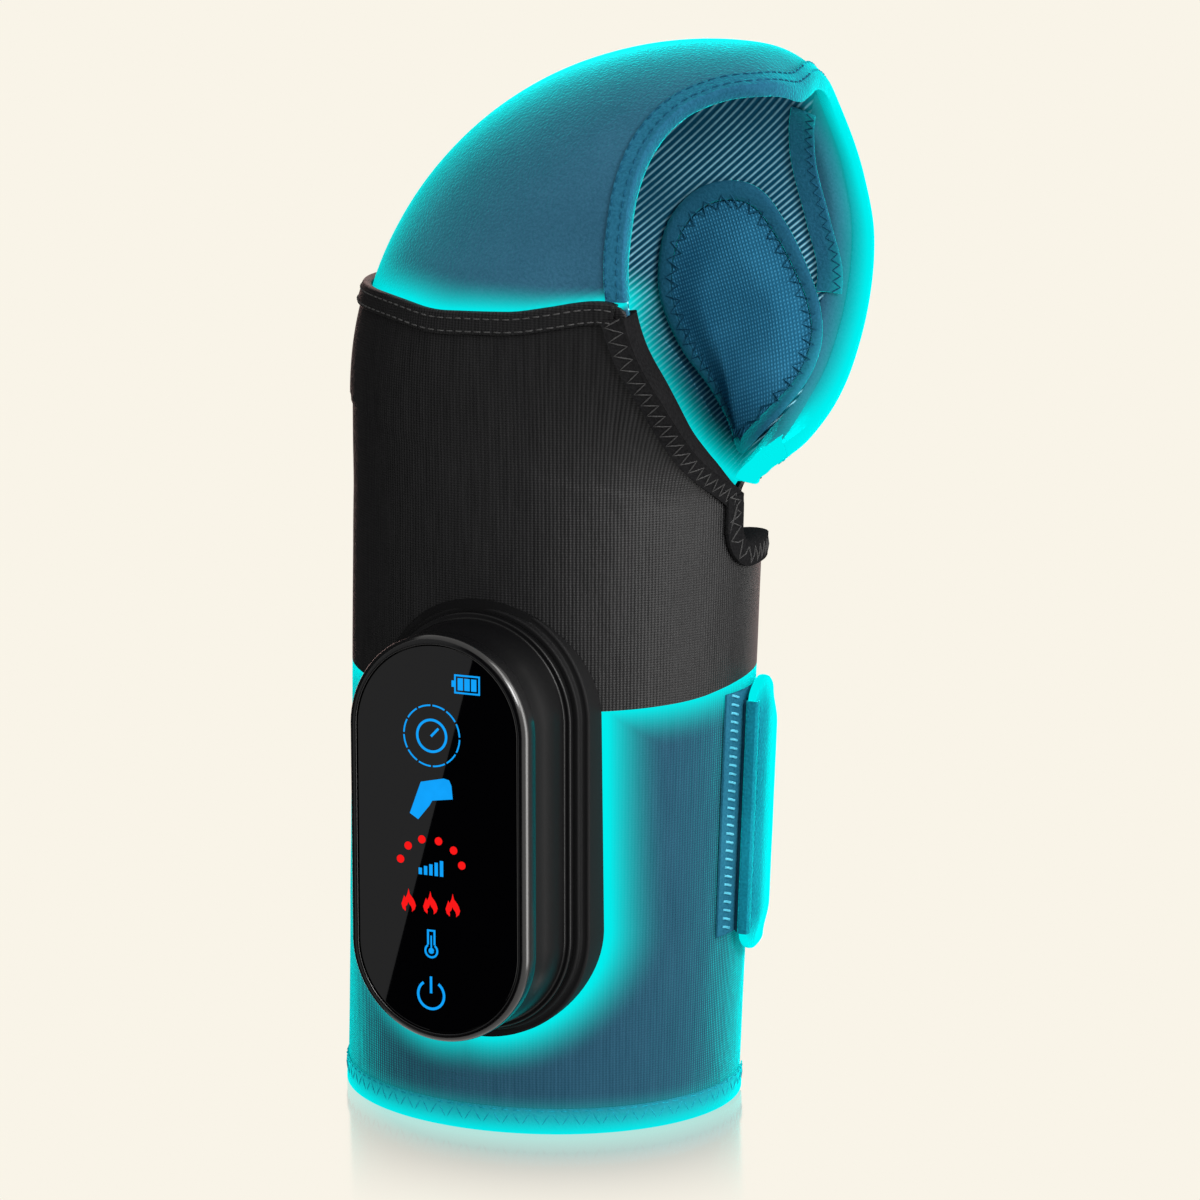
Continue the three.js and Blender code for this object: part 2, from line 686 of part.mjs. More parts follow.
const padShares = [
  [0.392, 1.748], [0.386, 1.671], [0.408, 1.581], [0.454, 1.493], [0.502, 1.429], [0.578, 1.373],
  [0.669, 1.342], [0.753, 1.3], [0.82, 1.25], [0.855, 1.26], [0.868, 1.38], [0.866, 1.56],
  [0.848, 1.71], [0.81, 1.82], [0.765, 1.885], [0.716, 1.915], [0.673, 1.918], [0.62, 1.9],
  [0.557, 1.866], [0.481, 1.83], [0.42, 1.798],
];

const bandShares = [
  [0.25, 1.968], [0.317, 1.945], [0.39, 1.933], [0.483, 1.948], [0.561, 1.977], [0.65, 1.98],
];

const padCentreShares = [0.6, 1.6];
const padRingShares = [0, 0.35, 0.6, 0.75, 0.84];
const padBindingShares = [0.852, 0.92, 1];
const BAND_START_SHARE = 0.26;
const BAND_END_SHARE = 0.6;
const PAD_POINTS = 36;

function makePads() {
  const outline = smoothOutline(padShares, PAD_POINTS);
  const [flatShare, edgeShare] = [padRingShares[1], padRingShares[4]];
  const crown = (share) => insideTape - PAD_EDGE_THICKNESS
    - (PAD_THICKNESS - PAD_EDGE_THICKNESS) * (1 - smooth((share - flatShare) / (edgeShare - flatShare)));
  piece(wrap, 'medial_pad',
    island(outline, padCentreShares, padRingShares, insideTape, crown), colours.hood);
  piece(wrap, 'medial_pad_binding',
    island(outline, padCentreShares, padBindingShares, insideTape, level(insideTape - PAD_EDGE_THICKNESS)),
    colours.blueBinding);

  const bandLine = columns(BAND_START_SHARE, BAND_END_SHARE).map((turn) => [turn, curveAt(bandShares, turn)]);
  const flat = [
    [0, insideTape], [BAND_WIDTH, insideTape],
    [BAND_WIDTH, insideTape - TAPE_THICKNESS], [0, insideTape - TAPE_THICKNESS],
  ];
  piece(wrap, 'medial_edge_band', tape(bandLine, mirrored(flat)), colours.blueBinding);
}

// Gel pack in its pocket, inside the lateral wall. Both are swept about the knee's pivot line, so that the
// pack slides out along the bend.

const gelTurnShares = [-0.68, -0.42];
const gelRiseShares = [1.02, 1.56];
const gelEdgeShares = [0, 0.07, 0.2, 0.4, 0.6, 0.8, 0.93, 1];
const GEL_PLUMP_SHARE = 0.3;
const POCKET_HIGH_SHARE = 0.97;

function swept(turn, rise, lift) {
  const start = legPoint(turn, 1, lift);
  const bend = (rise - 1) * Math.PI / 2;
  const reach = PIVOT_X - start.x;
  return new THREE.Vector3(PIVOT_X - Math.cos(bend) * reach, start.y, BEND_HEIGHT + Math.sin(bend) * reach);
}

// A place on the lining as far from the pivot line as the same turn is where the bend starts
function sewn(turn, rise, lift) {
  const reach = BEND_HALF_DEPTH * (1 + Math.cos(Math.PI * turn));
  const along = THREE.MathUtils.clamp(reach / section(rise).depth - 1, -1, 1);
  return legPoint(-Math.acos(along) / Math.PI, rise, lift);
}

function gelThickness(edgeShare) {
  return THREE.MathUtils.lerp(GEL_EDGE_THICKNESS, GEL_THICKNESS, smooth(edgeShare / GEL_PLUMP_SHARE));
}

function makeGelPack() {
  const [from, to] = gelTurnShares;
  const [low, high] = gelRiseShares;
  const turns = gelEdgeShares.map((share) => THREE.MathUtils.lerp(from, to, share));
  const outer = insideTape - GEL_SLACK;
  const inner = (across, up) => outer - gelThickness(Math.min(across, 1 - across, up, 1 - up));
  piece(wrap, 'gel_pack',
    sheet(turns, gelEdgeShares, level(low), level(high), inner, level(outer), swept), colours.gel);

  const seamTurn = turnFor(to, 1, POCKET_SEAM);
  const seamRise = riseFor(to, 1, POCKET_SEAM);
  const top = THREE.MathUtils.lerp(low, high, POCKET_HIGH_SHARE);
  const rises = [low - seamRise, ...gelEdgeShares.slice(0, -1).map((share) => (
    THREE.MathUtils.lerp(low, high, share)
  )), top].sort((a, b) => a - b);
  const rows = rises.map((rise) => (rise - rises[0]) / (top - rises[0]));
  const span = to - from + 2 * seamTurn;
  const bulge = (across, up) => {
    const sideShare = (across * span - seamTurn) / (to - from);
    const upShare = (rises[0] + up * (top - rises[0]) - low) / (high - low);
    const edgeShare = Math.min(sideShare, 1 - sideShare, upShare);
    return edgeShare < -PROBE_SHARE ? 0 : GEL_SLACK + gelThickness(edgeShare) + POCKET_SLACK;
  };
  const cover = (across, up) => insideTape - bulge(across, up);
  const place = (turn, rise, lift) => (
    lift > insideTape - POCKET_THICKNESS - CLEARANCE ? sewn(turn, rise, lift) : swept(turn, rise, lift)
  );
  piece(wrap, 'gel_pocket',
    sheet([from - seamTurn, ...turns, to + seamTurn], rows, level(rises[0]), level(top),
      (across, up) => cover(across, up) - POCKET_THICKNESS, cover, place), colours.lining);
}

// Closing flap behind the calf

const FLAP_ROOT_SHARE = 0.66;
const FLAP_TIP_SHARE = 1.022;
const HOOK_START_SHARE = 0.92;
const HOOK_END_SHARE = 1.014;
const LOOP_START_SHARE = 0.9;
const LOOP_END_SHARE = 1.06;
const FLAP_REST_SHARE = 0.5;
const FLAP_PLUMP_SHARE = 0.12;
const flapRowShares = [0, 0.06, 0.12, 0.5, 0.88, 0.94, 1];

function makeFlap() {
  const [low, high] = [FLAP_LOW / BEND_HEIGHT, FLAP_HIGH / BEND_HEIGHT];
  const margin = FASTENER_MARGIN / BEND_HEIGHT;
  piece(wrap, 'loop_panel',
    sheet(columns(LOOP_START_SHARE, LOOP_END_SHARE), [0, 1], level(low + margin / 2),
      level(high - margin / 2), level(outsideTape), level(outsideTape + LOOP_THICKNESS)), colours.fastener);

  const hookInner = outsideTape + LOOP_THICKNESS + CLEARANCE;
  const flapInner = hookInner + HOOK_THICKNESS + CLEARANCE;
  piece(wrap, 'flap_hook_strip',
    sheet(columns(HOOK_START_SHARE, HOOK_END_SHARE), [0, 1], level(low + margin), level(high - margin),
      level(hookInner), level(hookInner + HOOK_THICKNESS)), colours.fastener);

  const inner = (across) => THREE.MathUtils.lerp(outsideTape, flapInner, smooth(across / FLAP_REST_SHARE));
  const body = (across, up) => {
    const rest = smooth(across / FLAP_REST_SHARE);
    const plump = smooth(Math.min(up, 1 - up, 1 - across) / FLAP_PLUMP_SHARE) * rest;
    const root = THREE.MathUtils.lerp(FLAP_ROOT_THICKNESS, FLAP_EDGE_THICKNESS, rest);
    return inner(across) + THREE.MathUtils.lerp(root, FLAP_THICKNESS, plump);
  };
  const band = FLAP_BAND_WIDTH + CLEARANCE + TAPE_THICKNESS;
  const bodyTip = FLAP_TIP_SHARE - turnFor(FLAP_TIP_SHARE, low, TAPE_THICKNESS + CLEARANCE);
  const turns = columns(FLAP_ROOT_SHARE, bodyTip, [bodyTip - turnFor(bodyTip, low, band)]);
  const flap = sheet(turns, flapRowShares, level(low), level(high), inner, body);
  piece(wrap, 'closing_flap', flap, colours.hood);

  const tipLine = [0, 0.25, 0.5, 0.75, 1].map((up) => [bodyTip, THREE.MathUtils.lerp(low, high, up)]);
  const outer = flapInner + FLAP_THICKNESS;
  const skin = TAPE_THICKNESS;
  const edge = CLEARANCE;
  const overTip = [
    [-FLAP_BAND_WIDTH, outer + skin + CLEARANCE], [edge + skin, outer + skin + CLEARANCE],
    [edge + skin, flapInner], [edge, flapInner], [edge, outer + CLEARANCE],
    [-FLAP_BAND_WIDTH, outer + CLEARANCE],
  ];
  piece(wrap, 'flap_edge_binding', tape(tipLine, mirrored(overTip)), colours.blueBinding);
}

// Controller. Its pieces are turned about the depth axis, then their halves are drawn apart.

function pill(profile, straight = PILL_STRAIGHT) {
  const points = profile.map(([radius, depth]) => new THREE.Vector2(radius, -depth));
  const g = new THREE.LatheGeometry(points, ARC_STEPS, Math.PI / 2 + Math.PI / ARC_STEPS);
  const p = g.getAttribute('position');
  for (let i = 0; i < p.count; i += 1) {
    const onAxis = Math.hypot(p.getX(i), p.getZ(i)) < 1e-6;
    p.setZ(i, p.getZ(i) + (onAxis ? 0 : Math.sign(p.getZ(i)) * straight / 2));
  }
  g.translate(CONTROLLER_X, 0, CONTROLLER_Z);
  return g;
}

function block(width, depth, height, x, y, z) {
  const g = new THREE.BoxGeometry(width, depth, height);
  g.translate(CONTROLLER_X + x, -y, CONTROLLER_Z + z);
  return g;
}

const baseTop = BASE_FRONT + BASE_STEP;
const housingRear = baseTop + CLEARANCE;
const housingFront = housingRear + HOUSING_DEPTH;
const bezelRear = housingFront + CLEARANCE;
const bezelFront = bezelRear + BEZEL_DEPTH;
const floorTop = housingRear + WALL;
const lensFront = bezelFront - LENS_RECESS;
const lensRear = lensFront - LENS_THICKNESS;
const displayRear = lensRear - CLEARANCE - MASK_THICKNESS - CLEARANCE - BOARD_THICKNESS;

function sleeveCore(lift) {
  const rings = [-0.2, 0, 1].map((share) => {
    const ring = [];
    for (let i = 0; i < 2 / TURN_STEP_SHARE; i += 1) {
      ring.push(legPoint(-1 + i * TURN_STEP_SHARE, share, lift));
    }
    return ring;
  });
  return loft(rings);
}

function makeBase() {
  const outline = [
    [0, 0], [BASE_RADIUS, 0], [BASE_RADIUS, BASE_FRONT - RUBBER_ROUND],
    [BASE_RADIUS - RUBBER_ROUND, BASE_FRONT],
    [BASE_STEP_RADIUS, BASE_FRONT], [BASE_STEP_RADIUS, baseTop - STEP_ROUND],
    [BASE_STEP_RADIUS - STEP_ROUND, baseTop],
    [0, baseTop],
  ];
  const base = cut(pill(outline), sleeveCore(sleeveOuter + CLEARANCE), ...controllerBores(CLEARANCE));
  piece(controller, 'controller_base', base, colours.rubber);

  const plateRegion = pill([[0, 0], [SCREW_SPREAD_X + PLATE_MARGIN, 0],
    [SCREW_SPREAD_X + PLATE_MARGIN, BASE_FRONT], [0, BASE_FRONT]], 2 * (SCREW_SPREAD_Z - SCREW_SPREAD_X));
  const outerLift = sleeveInner - CLEARANCE;
  const slab = cut(keep(sleeveCore(outerLift), plateRegion), sleeveCore(outerLift - PLATE_THICKNESS));
  piece(controller, 'backing_plate', cut(slab, ...controllerBores(CLEARANCE)), colours.whitePlastic);

  screwPlaces().forEach(([x, z], i) => {
    const dip = depthAt(x, z, outerLift - PLATE_THICKNESS) - CLEARANCE;
    const profile = [[0, dip - SCREW_HEAD], [SCREW_HEAD_RADIUS, dip - SCREW_HEAD],
      [SCREW_HEAD_RADIUS, dip], [SCREW_RADIUS, dip], [SCREW_RADIUS, floorTop + SCREW_BITE],
      [0, floorTop + SCREW_BITE]];
    const g = new THREE.LatheGeometry(profile.map(([r, d]) => new THREE.Vector2(r, -d)), 12);
    g.translate(x, 0, z);
    piece(controller, `clamp_screw_${i + 1}`, g, colours.steel);
  });
}

// Depth of the sleeve's form along Y at a place of the controller side, at its least over a screw head
function depthAt(x, z, lift) {
  const at = section(z / BEND_HEIGHT);
  const [depth, width] = [at.depth + lift, at.width + lift];
  const reach = Math.abs(x - at.centre.x) + SCREW_HEAD_RADIUS;
  return width * Math.sqrt(1 - (reach / depth) ** 2);
}

function makeHousing() {
  const lipTop = housingRear + HOUSING_LIP;
  const outline = [
    [0, housingRear], [HOUSING_LIP_RADIUS - LIP_ROUND, housingRear],
    [HOUSING_LIP_RADIUS, housingRear + LIP_ROUND], [HOUSING_LIP_RADIUS, lipTop - LIP_ROUND],
    [HOUSING_LIP_RADIUS - LIP_ROUND, lipTop], [HOUSING_REAR_RADIUS, lipTop + LIP_SHOULDER],
    [HOUSING_FRONT_RADIUS, housingFront], [HOUSING_FRONT_RADIUS - WALL, housingFront],
    [HOUSING_REAR_RADIUS - WALL, floorTop + FLOOR_ROUND],
    [HOUSING_REAR_RADIUS - WALL - FLOOR_ROUND, floorTop], [0, floorTop],
  ];
  const portY = floorTop + PORT_FROM_FLOOR;
  const top = PILL_STRAIGHT / 2 + HOUSING_REAR_RADIUS;
  const slot = block(PORT_WIDTH + CLEARANCE, PORT_HEIGHT + CLEARANCE, 2 * CUT_OVERRUN, 0, portY, top);
  const bosses = screwPlaces().map(([x, z]) => post(x, z, BOSS_RADIUS, floorTop - CLEARANCE, BOSS_HEIGHT));
  const bores = screwPlaces().map(([x, z]) => post(x, z, SCREW_RADIUS + CLEARANCE, housingRear - CUT_OVERRUN,
    CUT_OVERRUN + WALL + SCREW_BITE + CLEARANCE));
  const duct = post(CONTROLLER_X, CONTROLLER_Z, DUCT_RADIUS, housingRear - CUT_OVERRUN,
    WALL + 2 * CUT_OVERRUN);
  const housing = cut(join(pill(outline), ...bosses), slot, duct, ...bores);
  piece(controller, 'rear_housing', housing, colours.housing);

  const portZ = top - WALL + PORT_PROUD - PORT_DEPTH / 2;
  const mouthDepth = PORT_DEPTH - PORT_FLOOR;
  const shell = block(PORT_WIDTH, PORT_HEIGHT, PORT_DEPTH, 0, portY, portZ);
  const mouth = block(PORT_WIDTH - 2 * PORT_WALL, PORT_HEIGHT - 2 * PORT_WALL, mouthDepth + CUT_OVERRUN, 0,
    portY, portZ + (PORT_FLOOR + CUT_OVERRUN) / 2);
  const tongueWidth = PORT_WIDTH - 2 * TONGUE_MARGIN;
  const tongue = block(tongueWidth, TONGUE_THICKNESS, PORT_DEPTH - 2 * PORT_FLOOR, 0, portY, portZ);
  piece(controller, 'charging_port', join(cut(shell, mouth), tongue), colours.steel);
}

// A round post along the depth axis, from a depth outwards
function post(x, z, radius, from, length) {
  const g = new THREE.CylinderGeometry(radius, radius, length, ARC_STEPS / 2);
  g.translate(x, -from - length / 2, z);
  return g;
}

function makeFront() {
  const gasketOuter = HOUSING_FRONT_RADIUS - WALL - CLEARANCE;
  piece(controller, 'housing_gasket', pill([
    [gasketOuter, housingFront - GASKET_THICKNESS], [gasketOuter, bezelRear + GASKET_THICKNESS],
    [gasketOuter - GASKET_THICKNESS, bezelRear + GASKET_THICKNESS],
    [gasketOuter - GASKET_THICKNESS, housingFront - GASKET_THICKNESS],
    [gasketOuter, housingFront - GASKET_THICKNESS],
  ]), colours.rubber);

  const ledgeTop = lensRear - CLEARANCE;
  const bezel = [
    [gasketOuter + CLEARANCE, bezelRear], [BEZEL_RADIUS - BEZEL_CHAMFER, bezelRear],
    [BEZEL_RADIUS, bezelRear + BEZEL_CHAMFER], [BEZEL_RADIUS, bezelFront - BEZEL_ROUND],
  ];
  for (const share of [0.25, 0.5, 0.75]) {
    const angle = share * Math.PI / 2;
    bezel.push([BEZEL_RADIUS - BEZEL_ROUND * (1 - Math.cos(angle)),
      bezelFront - BEZEL_ROUND * (1 - Math.sin(angle))]);
  }
  bezel.push([BEZEL_RADIUS - BEZEL_ROUND, bezelFront]);
  bezel.push([LENS_RADIUS + CLEARANCE, bezelFront - BEZEL_DIP]);
  bezel.push([LENS_RADIUS + CLEARANCE, ledgeTop]);
  bezel.push([LENS_RADIUS - LEDGE, ledgeTop]);
  bezel.push([LENS_RADIUS - LEDGE, ledgeTop - LEDGE / 2]);
  bezel.push([gasketOuter + CLEARANCE, ledgeTop - LEDGE]);
  bezel.push([gasketOuter + CLEARANCE, bezelRear]);
  piece(controller, 'front_bezel', pill(bezel), colours.bezel);

  piece(controller, 'touch_lens', pill([
    [0, lensRear], [LENS_RADIUS, lensRear], [LENS_RADIUS, lensFront - LENS_CHAMFER],
    [LENS_RADIUS - LENS_CHAMFER, lensFront], [0, lensFront],
  ]), colours.glass);

  const maskRadius = LENS_RADIUS - LEDGE - CLEARANCE;
  const maskFront = lensRear - CLEARANCE;
  piece(controller, 'light_mask', pill([
    [0, maskFront - MASK_THICKNESS], [maskRadius, maskFront - MASK_THICKNESS],
    [maskRadius, maskFront], [0, maskFront],
  ]), colours.whitePlastic);
  const boardRadius = maskRadius - BOARD_INSET;
  piece(controller, 'display_board', pill([
    [0, displayRear], [boardRadius, displayRear], [boardRadius, displayRear + BOARD_THICKNESS],
    [0, displayRear + BOARD_THICKNESS],
  ]), colours.board);
}

function makeWorks() {
  const cellY = floorTop + CLEARANCE + BATTERY_THICKNESS / 2;
  for (const i of [0, 1]) {
    const z = BATTERY_START + BATTERY_LENGTH / 2 + i * (BATTERY_LENGTH + BATTERY_GAP);
    const inset = i * SECOND_CELL_INSET;
    const cell = block(BATTERY_WIDTH - inset, BATTERY_THICKNESS, BATTERY_LENGTH - inset, 0, cellY, z);
    piece(controller, `battery_cell_${i + 1}`, cell, colours.cell);
  }
  const boardY = floorTop + BATTERY_THICKNESS + 2 * CLEARANCE + BOARD_THICKNESS / 2;
  piece(controller, 'main_board',
    block(BATTERY_WIDTH, BOARD_THICKNESS, 2 * BATTERY_LENGTH - MAIN_BOARD_MARGIN, 0, boardY,
      MAIN_BOARD_START + BATTERY_LENGTH), colours.board);

  const pumpY = floorTop + CLEARANCE + PUMP_SIZE / 2;
  piece(controller, 'pump_head',
    block(PUMP_SIZE, PUMP_SIZE, PUMP_LENGTH, PUMP_X, pumpY, PUMP_Z), colours.whitePlastic);
  const motor = new THREE.CylinderGeometry(MOTOR_RADIUS, MOTOR_RADIUS, MOTOR_LENGTH, ARC_STEPS);
  motor.rotateX(Math.PI / 2);
  motor.translate(CONTROLLER_X + PUMP_X, -pumpY,
    CONTROLLER_Z + PUMP_Z - (PUMP_LENGTH + MOTOR_LENGTH) / 2 - CLEARANCE);
  piece(controller, 'pump_motor', motor, colours.steel);
  piece(controller, 'release_valve',
    block(VALVE_SIZE, VALVE_SIZE, VALVE_LENGTH, VALVE_X, floorTop + CLEARANCE + VALVE_SIZE / 2, VALVE_Z),
    colours.whitePlastic);
  const buzzer = new THREE.CylinderGeometry(BUZZER_RADIUS, BUZZER_RADIUS, BUZZER_HEIGHT, ARC_STEPS);
  const buzzerY = floorTop + CLEARANCE + BUZZER_HEIGHT / 2;
  buzzer.translate(CONTROLLER_X + BUZZER_X, -buzzerY, CONTROLLER_Z + BUZZER_Z);
  piece(controller, 'buzzer', buzzer, colours.rubber);
}

// Air hoses and the heater's lead, from the works through the duct and on between the layers

function line(name, radius, inside, outside, lift, look) {
  const points = inside.map(([x, depth, z]) => new THREE.Vector3(CONTROLLER_X + x, -depth, CONTROLLER_Z + z));
  outside.forEach(([turn, rise], i) => {
    const [fromTurn, fromRise] = outside[Math.max(i - 1, 0)];
    for (const share of i > 0 ? [0.25, 0.5, 0.75, 1] : [1]) {
      points.push(legPoint(
        THREE.MathUtils.lerp(fromTurn, turn, share),
        THREE.MathUtils.lerp(fromRise, rise, share),
        lift,
      ));
    }
  });
  const path = new THREE.CatmullRomCurve3(points, false, 'centripetal');
  const round = new THREE.Shape().absarc(0, 0, radius, 0, 2 * Math.PI);
  const g = new THREE.ExtrudeGeometry(round, { curveSegments: 3, steps: 56, extrudePath: path });
  piece(controller, name, g, look);
}

function makeLines() {
  const hoseLift = liningOuter + TAPE_GAP + HOSE_RADIUS;
  line('calf_air_hose', HOSE_RADIUS,
    [[-10, 70, -5], [-10, 70, -1], [-7, 69, 1.4], [-3.6, 66, 1.6], [-3, 62, 1], [-3.2, 58, 1]],
    [[-0.478, 0.515], [-0.42, 0.515], [-0.31, 0.515], [-0.21, 0.515]], hoseLift, colours.hose);
  line('knee_air_hose', HOSE_RADIUS,
    [[13, 68.5, -15], [13, 68.5, -10], [9, 67.5, -4], [4, 65, -0.5], [3, 60.5, 0.8]],
    [[-0.53, 0.54], [-0.53, 0.65], [-0.51, 0.8], [-0.46, 1], [-0.4, 1.2], [-0.36, 1.36], [-0.305, 1.4]],
    hoseLift, colours.hose);
  line('heater_lead', LEAD_RADIUS,
    [[5, 73, 5.4], [5, 73, 3], [2, 70, -2], [0, 66, -3.5], [-0.5, 60, -3.6]],
    [[-0.48, 0.49], [-0.4, 0.48], [-0.3, 0.47], [-0.21, 0.47], [-0.153, 0.47]],
    filmInner + LEAD_RADIUS, colours.rubber);
}

makeSleeve();
makeSleeveInners();
makeBindings();
makeHood();
makePads();
makeGelPack();
makeFlap();
makeBase();
makeHousing();
makeFront();
makeWorks();
makeLines();

// The origin is the middle of the standing area
massager.updateMatrixWorld(true);
const extent = new THREE.Box3().setFromObject(massager, true);
const middle = extent.getCenter(new THREE.Vector3());
massager.position.set(-middle.x, -middle.y, -extent.min.z);

export default massager;
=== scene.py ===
import math

import bmesh
import bpy
from mathutils import Matrix, Vector, noise


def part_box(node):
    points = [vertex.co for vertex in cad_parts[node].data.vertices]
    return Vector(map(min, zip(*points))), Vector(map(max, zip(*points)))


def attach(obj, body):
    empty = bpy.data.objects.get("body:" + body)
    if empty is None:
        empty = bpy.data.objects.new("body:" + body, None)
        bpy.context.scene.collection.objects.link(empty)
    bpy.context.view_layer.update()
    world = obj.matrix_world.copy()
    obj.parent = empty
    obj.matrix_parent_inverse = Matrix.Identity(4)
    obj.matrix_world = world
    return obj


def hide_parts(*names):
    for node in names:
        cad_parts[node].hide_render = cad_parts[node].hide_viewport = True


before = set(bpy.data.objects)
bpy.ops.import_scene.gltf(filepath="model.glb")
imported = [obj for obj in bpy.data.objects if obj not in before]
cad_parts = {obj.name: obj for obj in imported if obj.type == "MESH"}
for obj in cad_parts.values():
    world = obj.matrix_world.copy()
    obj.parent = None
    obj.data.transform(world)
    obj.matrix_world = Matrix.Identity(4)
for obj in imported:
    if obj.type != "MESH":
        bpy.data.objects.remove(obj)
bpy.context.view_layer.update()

bl_info = {
    "name": "Heated knee massager",
    "version": (1, 0, 0),
    "blender": (4, 5, 0),
    "location": "3D View > Sidebar > Knee massager",
    "description": "Dresses a heated knee massager: knitted sleeve, knee hood, closing flap and touch controller",
    "category": "Add Mesh",
}

MM = 0.001

# The leg form, in millimetres. A place on it is a turn, in half turns from the knee cap line with the
# controller side negative, and a rise, from 0 at the hem to 1 at the bend and 1 more for a right angle.
BEND_HEIGHT = 200.0
HEM_HALF_DEPTH = 64.0
HEM_HALF_WIDTH = 57.2
BEND_HALF_DEPTH = 65.6
BEND_HALF_WIDTH = 58.0
KNEE_HALF_WIDTH = 60.0
KNEE_SPREAD = 0.66
LEAN = 5.8
FOLD_RADIUS = 14.0
PIVOT_X = LEAN + BEND_HALF_DEPTH + FOLD_RADIUS
CROWN_X = 60.2
CROWN_Z = 229.6
CROWN_HALF_DEPTH = 121.0
CROWN_HALF_HEIGHT = 115.0
DROOP = 9.0
DROOP_START = 1.93
SWELL = 2.0
HALF_GIRTH = 185.0

# Lifts off the leg form and sizes of the cloth, in millimetres
SLEEVE_INNER = 0.7
SLEEVE_OUTER = 2.2
SHELL = 1.5
LINING_INNER = -6.0
LINING_OUTER = -4.8
TAPE = 0.8
OUTSIDE_TAPE = 2.7
INSIDE_TAPE = -6.5
HEM_EDGE = 0.3
RIM_DRAW = 3.1
RIB_PITCH = 1.75
RIB_ANGLE = math.radians(38.8)
RIB_HEIGHT = 0.28
GLOW_REACH = 14.0
STITCH = 2.4
STITCH_GAP = 1.1
SEWN_NEAR = -0.9
SEWN_FAR = -6.2
SEWN_PITCH = 4.2

# The pattern's turns and rises
LATERAL_END = -1.105
MEDIAL_END = 0.875
NOTCH_SIDE = -0.955
NOTCH_LEVEL = 0.93
NOTCH_ROUND = 0.035
NOTCH_ROUND_TURN = 0.038
CORNER = 0.55
WING_ROOT = 0.7
SLEEVE_CUT = 0.14
WING_REACH = 0.083
RIB_START = 0.24

# The closing flap, in millimetres and turns
FLAP_LOW = 52 / BEND_HEIGHT
FLAP_HIGH = 142 / BEND_HEIGHT
FLAP_ROOT_HIGH = 0.655
FLAP_ROOT = 0.66
FLAP_TIP = 1.022
FLAP_MARGIN = 7 / BEND_HEIGHT
CORNER_ROUND = 8.0
FOLD_FROM_TIP = 17.5
FOLD_GLOW = 17.0
LOOP_THICK = 0.8
HOOK_THICK = 1.2
GAP = 0.3

# The controller, in millimetres
CONTROLLER_X = 7.0
CONTROLLER_Z = 102.0
PILL_STRAIGHT = 68.0
PILL_STEPS = 96
BASE_RADIUS = 37.0
BASE_REAR = 45.0
BASE_FRONT = 58.0
STEP_RADIUS = 34.6
BASE_TOP = 60.4
LIP_RADIUS = 32.5
HOUSING_REAR = 60.7
LIP_FRONT = HOUSING_REAR + 3.0
HOUSING_FRONT = 82.3
BEZEL_RADIUS = 30.8
BEZEL_REAR = 82.6
BEZEL_FRONT = 90.0
LENS_FRONT = 89.5
LENS_REAR = 87.7
LENS_RADIUS = 27.6
ICON_X = -2.0

RIM = [
    (-0.95, 1.2), (-0.893, 1.42), (-0.78, 1.61), (-0.706, 1.68), (-0.617, 1.71), (-0.55, 1.74),
    (-0.444, 1.8), (-0.383, 1.828), (-0.306, 1.867), (-0.244, 1.911), (-0.2, 1.96), (-0.16, 2.01),
    (-0.1, 2.03), (0, 2.03), (0.11, 2.015), (0.25, 2.0), (0.39, 2.02), (0.49, 2.04), (0.667, 2.048),
    (0.78, 2.03), (0.84, 1.96), (0.875, 1.86),
]
SEAM = [
    (-0.95, 1.08), (-0.8, 1.1), (-0.65, 1.28), (-0.5, 1.36), (-0.333, 1.25), (-0.167, 1.21), (0, 1.2),
    (0.167, 1.21), (0.333, 1.25), (0.5, 1.36), (0.65, 1.28), (0.8, 1.1), (0.875, 1.06),
]
SLEEVE_TOP = [
    (-0.55, 1.74), (-0.535, 1.7), (-0.507, 1.57), (-0.473, 1.48), (-0.397, 1.385), (-0.333, 1.345),
    (-0.167, 1.29), (0, 1.274), (0.167, 1.29), (0.333, 1.345), (0.397, 1.385), (0.473, 1.48),
    (0.507, 1.57), (0.535, 1.7), (0.55, 1.74),
]
MEDIAL_SIDE = [
    (0.55, 1.74), (0.617, 1.71), (0.706, 1.66), (0.77, 1.5), (0.81, 1.2), (0.84, 1.04), (0.875, 0.96),
]
# Where the blue band ends and the black cloth starts
BAND_LINE = [
    (-1.105, 0.716), (-1.036, 0.714), (-0.985, 0.711), (-0.923, 0.704), (-0.875, 0.698), (-0.798, 0.693),
    (-0.681, 0.69), (-0.5, 0.692), (-0.14, 0.712), (0.3, 0.714), (0.875, 0.714),
]
PAD = [
    (0.392, 1.748), (0.386, 1.671), (0.408, 1.581), (0.454, 1.493), (0.502, 1.429), (0.578, 1.373),
    (0.669, 1.342), (0.753, 1.3), (0.82, 1.25), (0.855, 1.26), (0.868, 1.38), (0.866, 1.56),
    (0.848, 1.71), (0.81, 1.82), (0.765, 1.885), (0.716, 1.915), (0.673, 1.918), (0.62, 1.9),
    (0.557, 1.866), (0.481, 1.83), (0.42, 1.798),
]
PAD_CENTRE = (0.6, 1.6)
# The lower edges of the plain facing and of the band inside the medial rim
FACING_LINE = [
    (0.22, 1.97), (0.25, 1.958), (0.317, 1.935), (0.39, 1.923), (0.483, 1.938), (0.561, 1.96), (0.62, 1.9),
    (0.673, 1.88), (0.716, 1.87), (0.765, 1.84), (0.8, 1.74), (0.825, 1.5), (0.845, 1.25), (0.875, 1.09),
]
BAND = [(0.25, 1.968), (0.317, 1.945), (0.39, 1.933), (0.483, 1.948), (0.561, 1.977), (0.65, 1.98)]
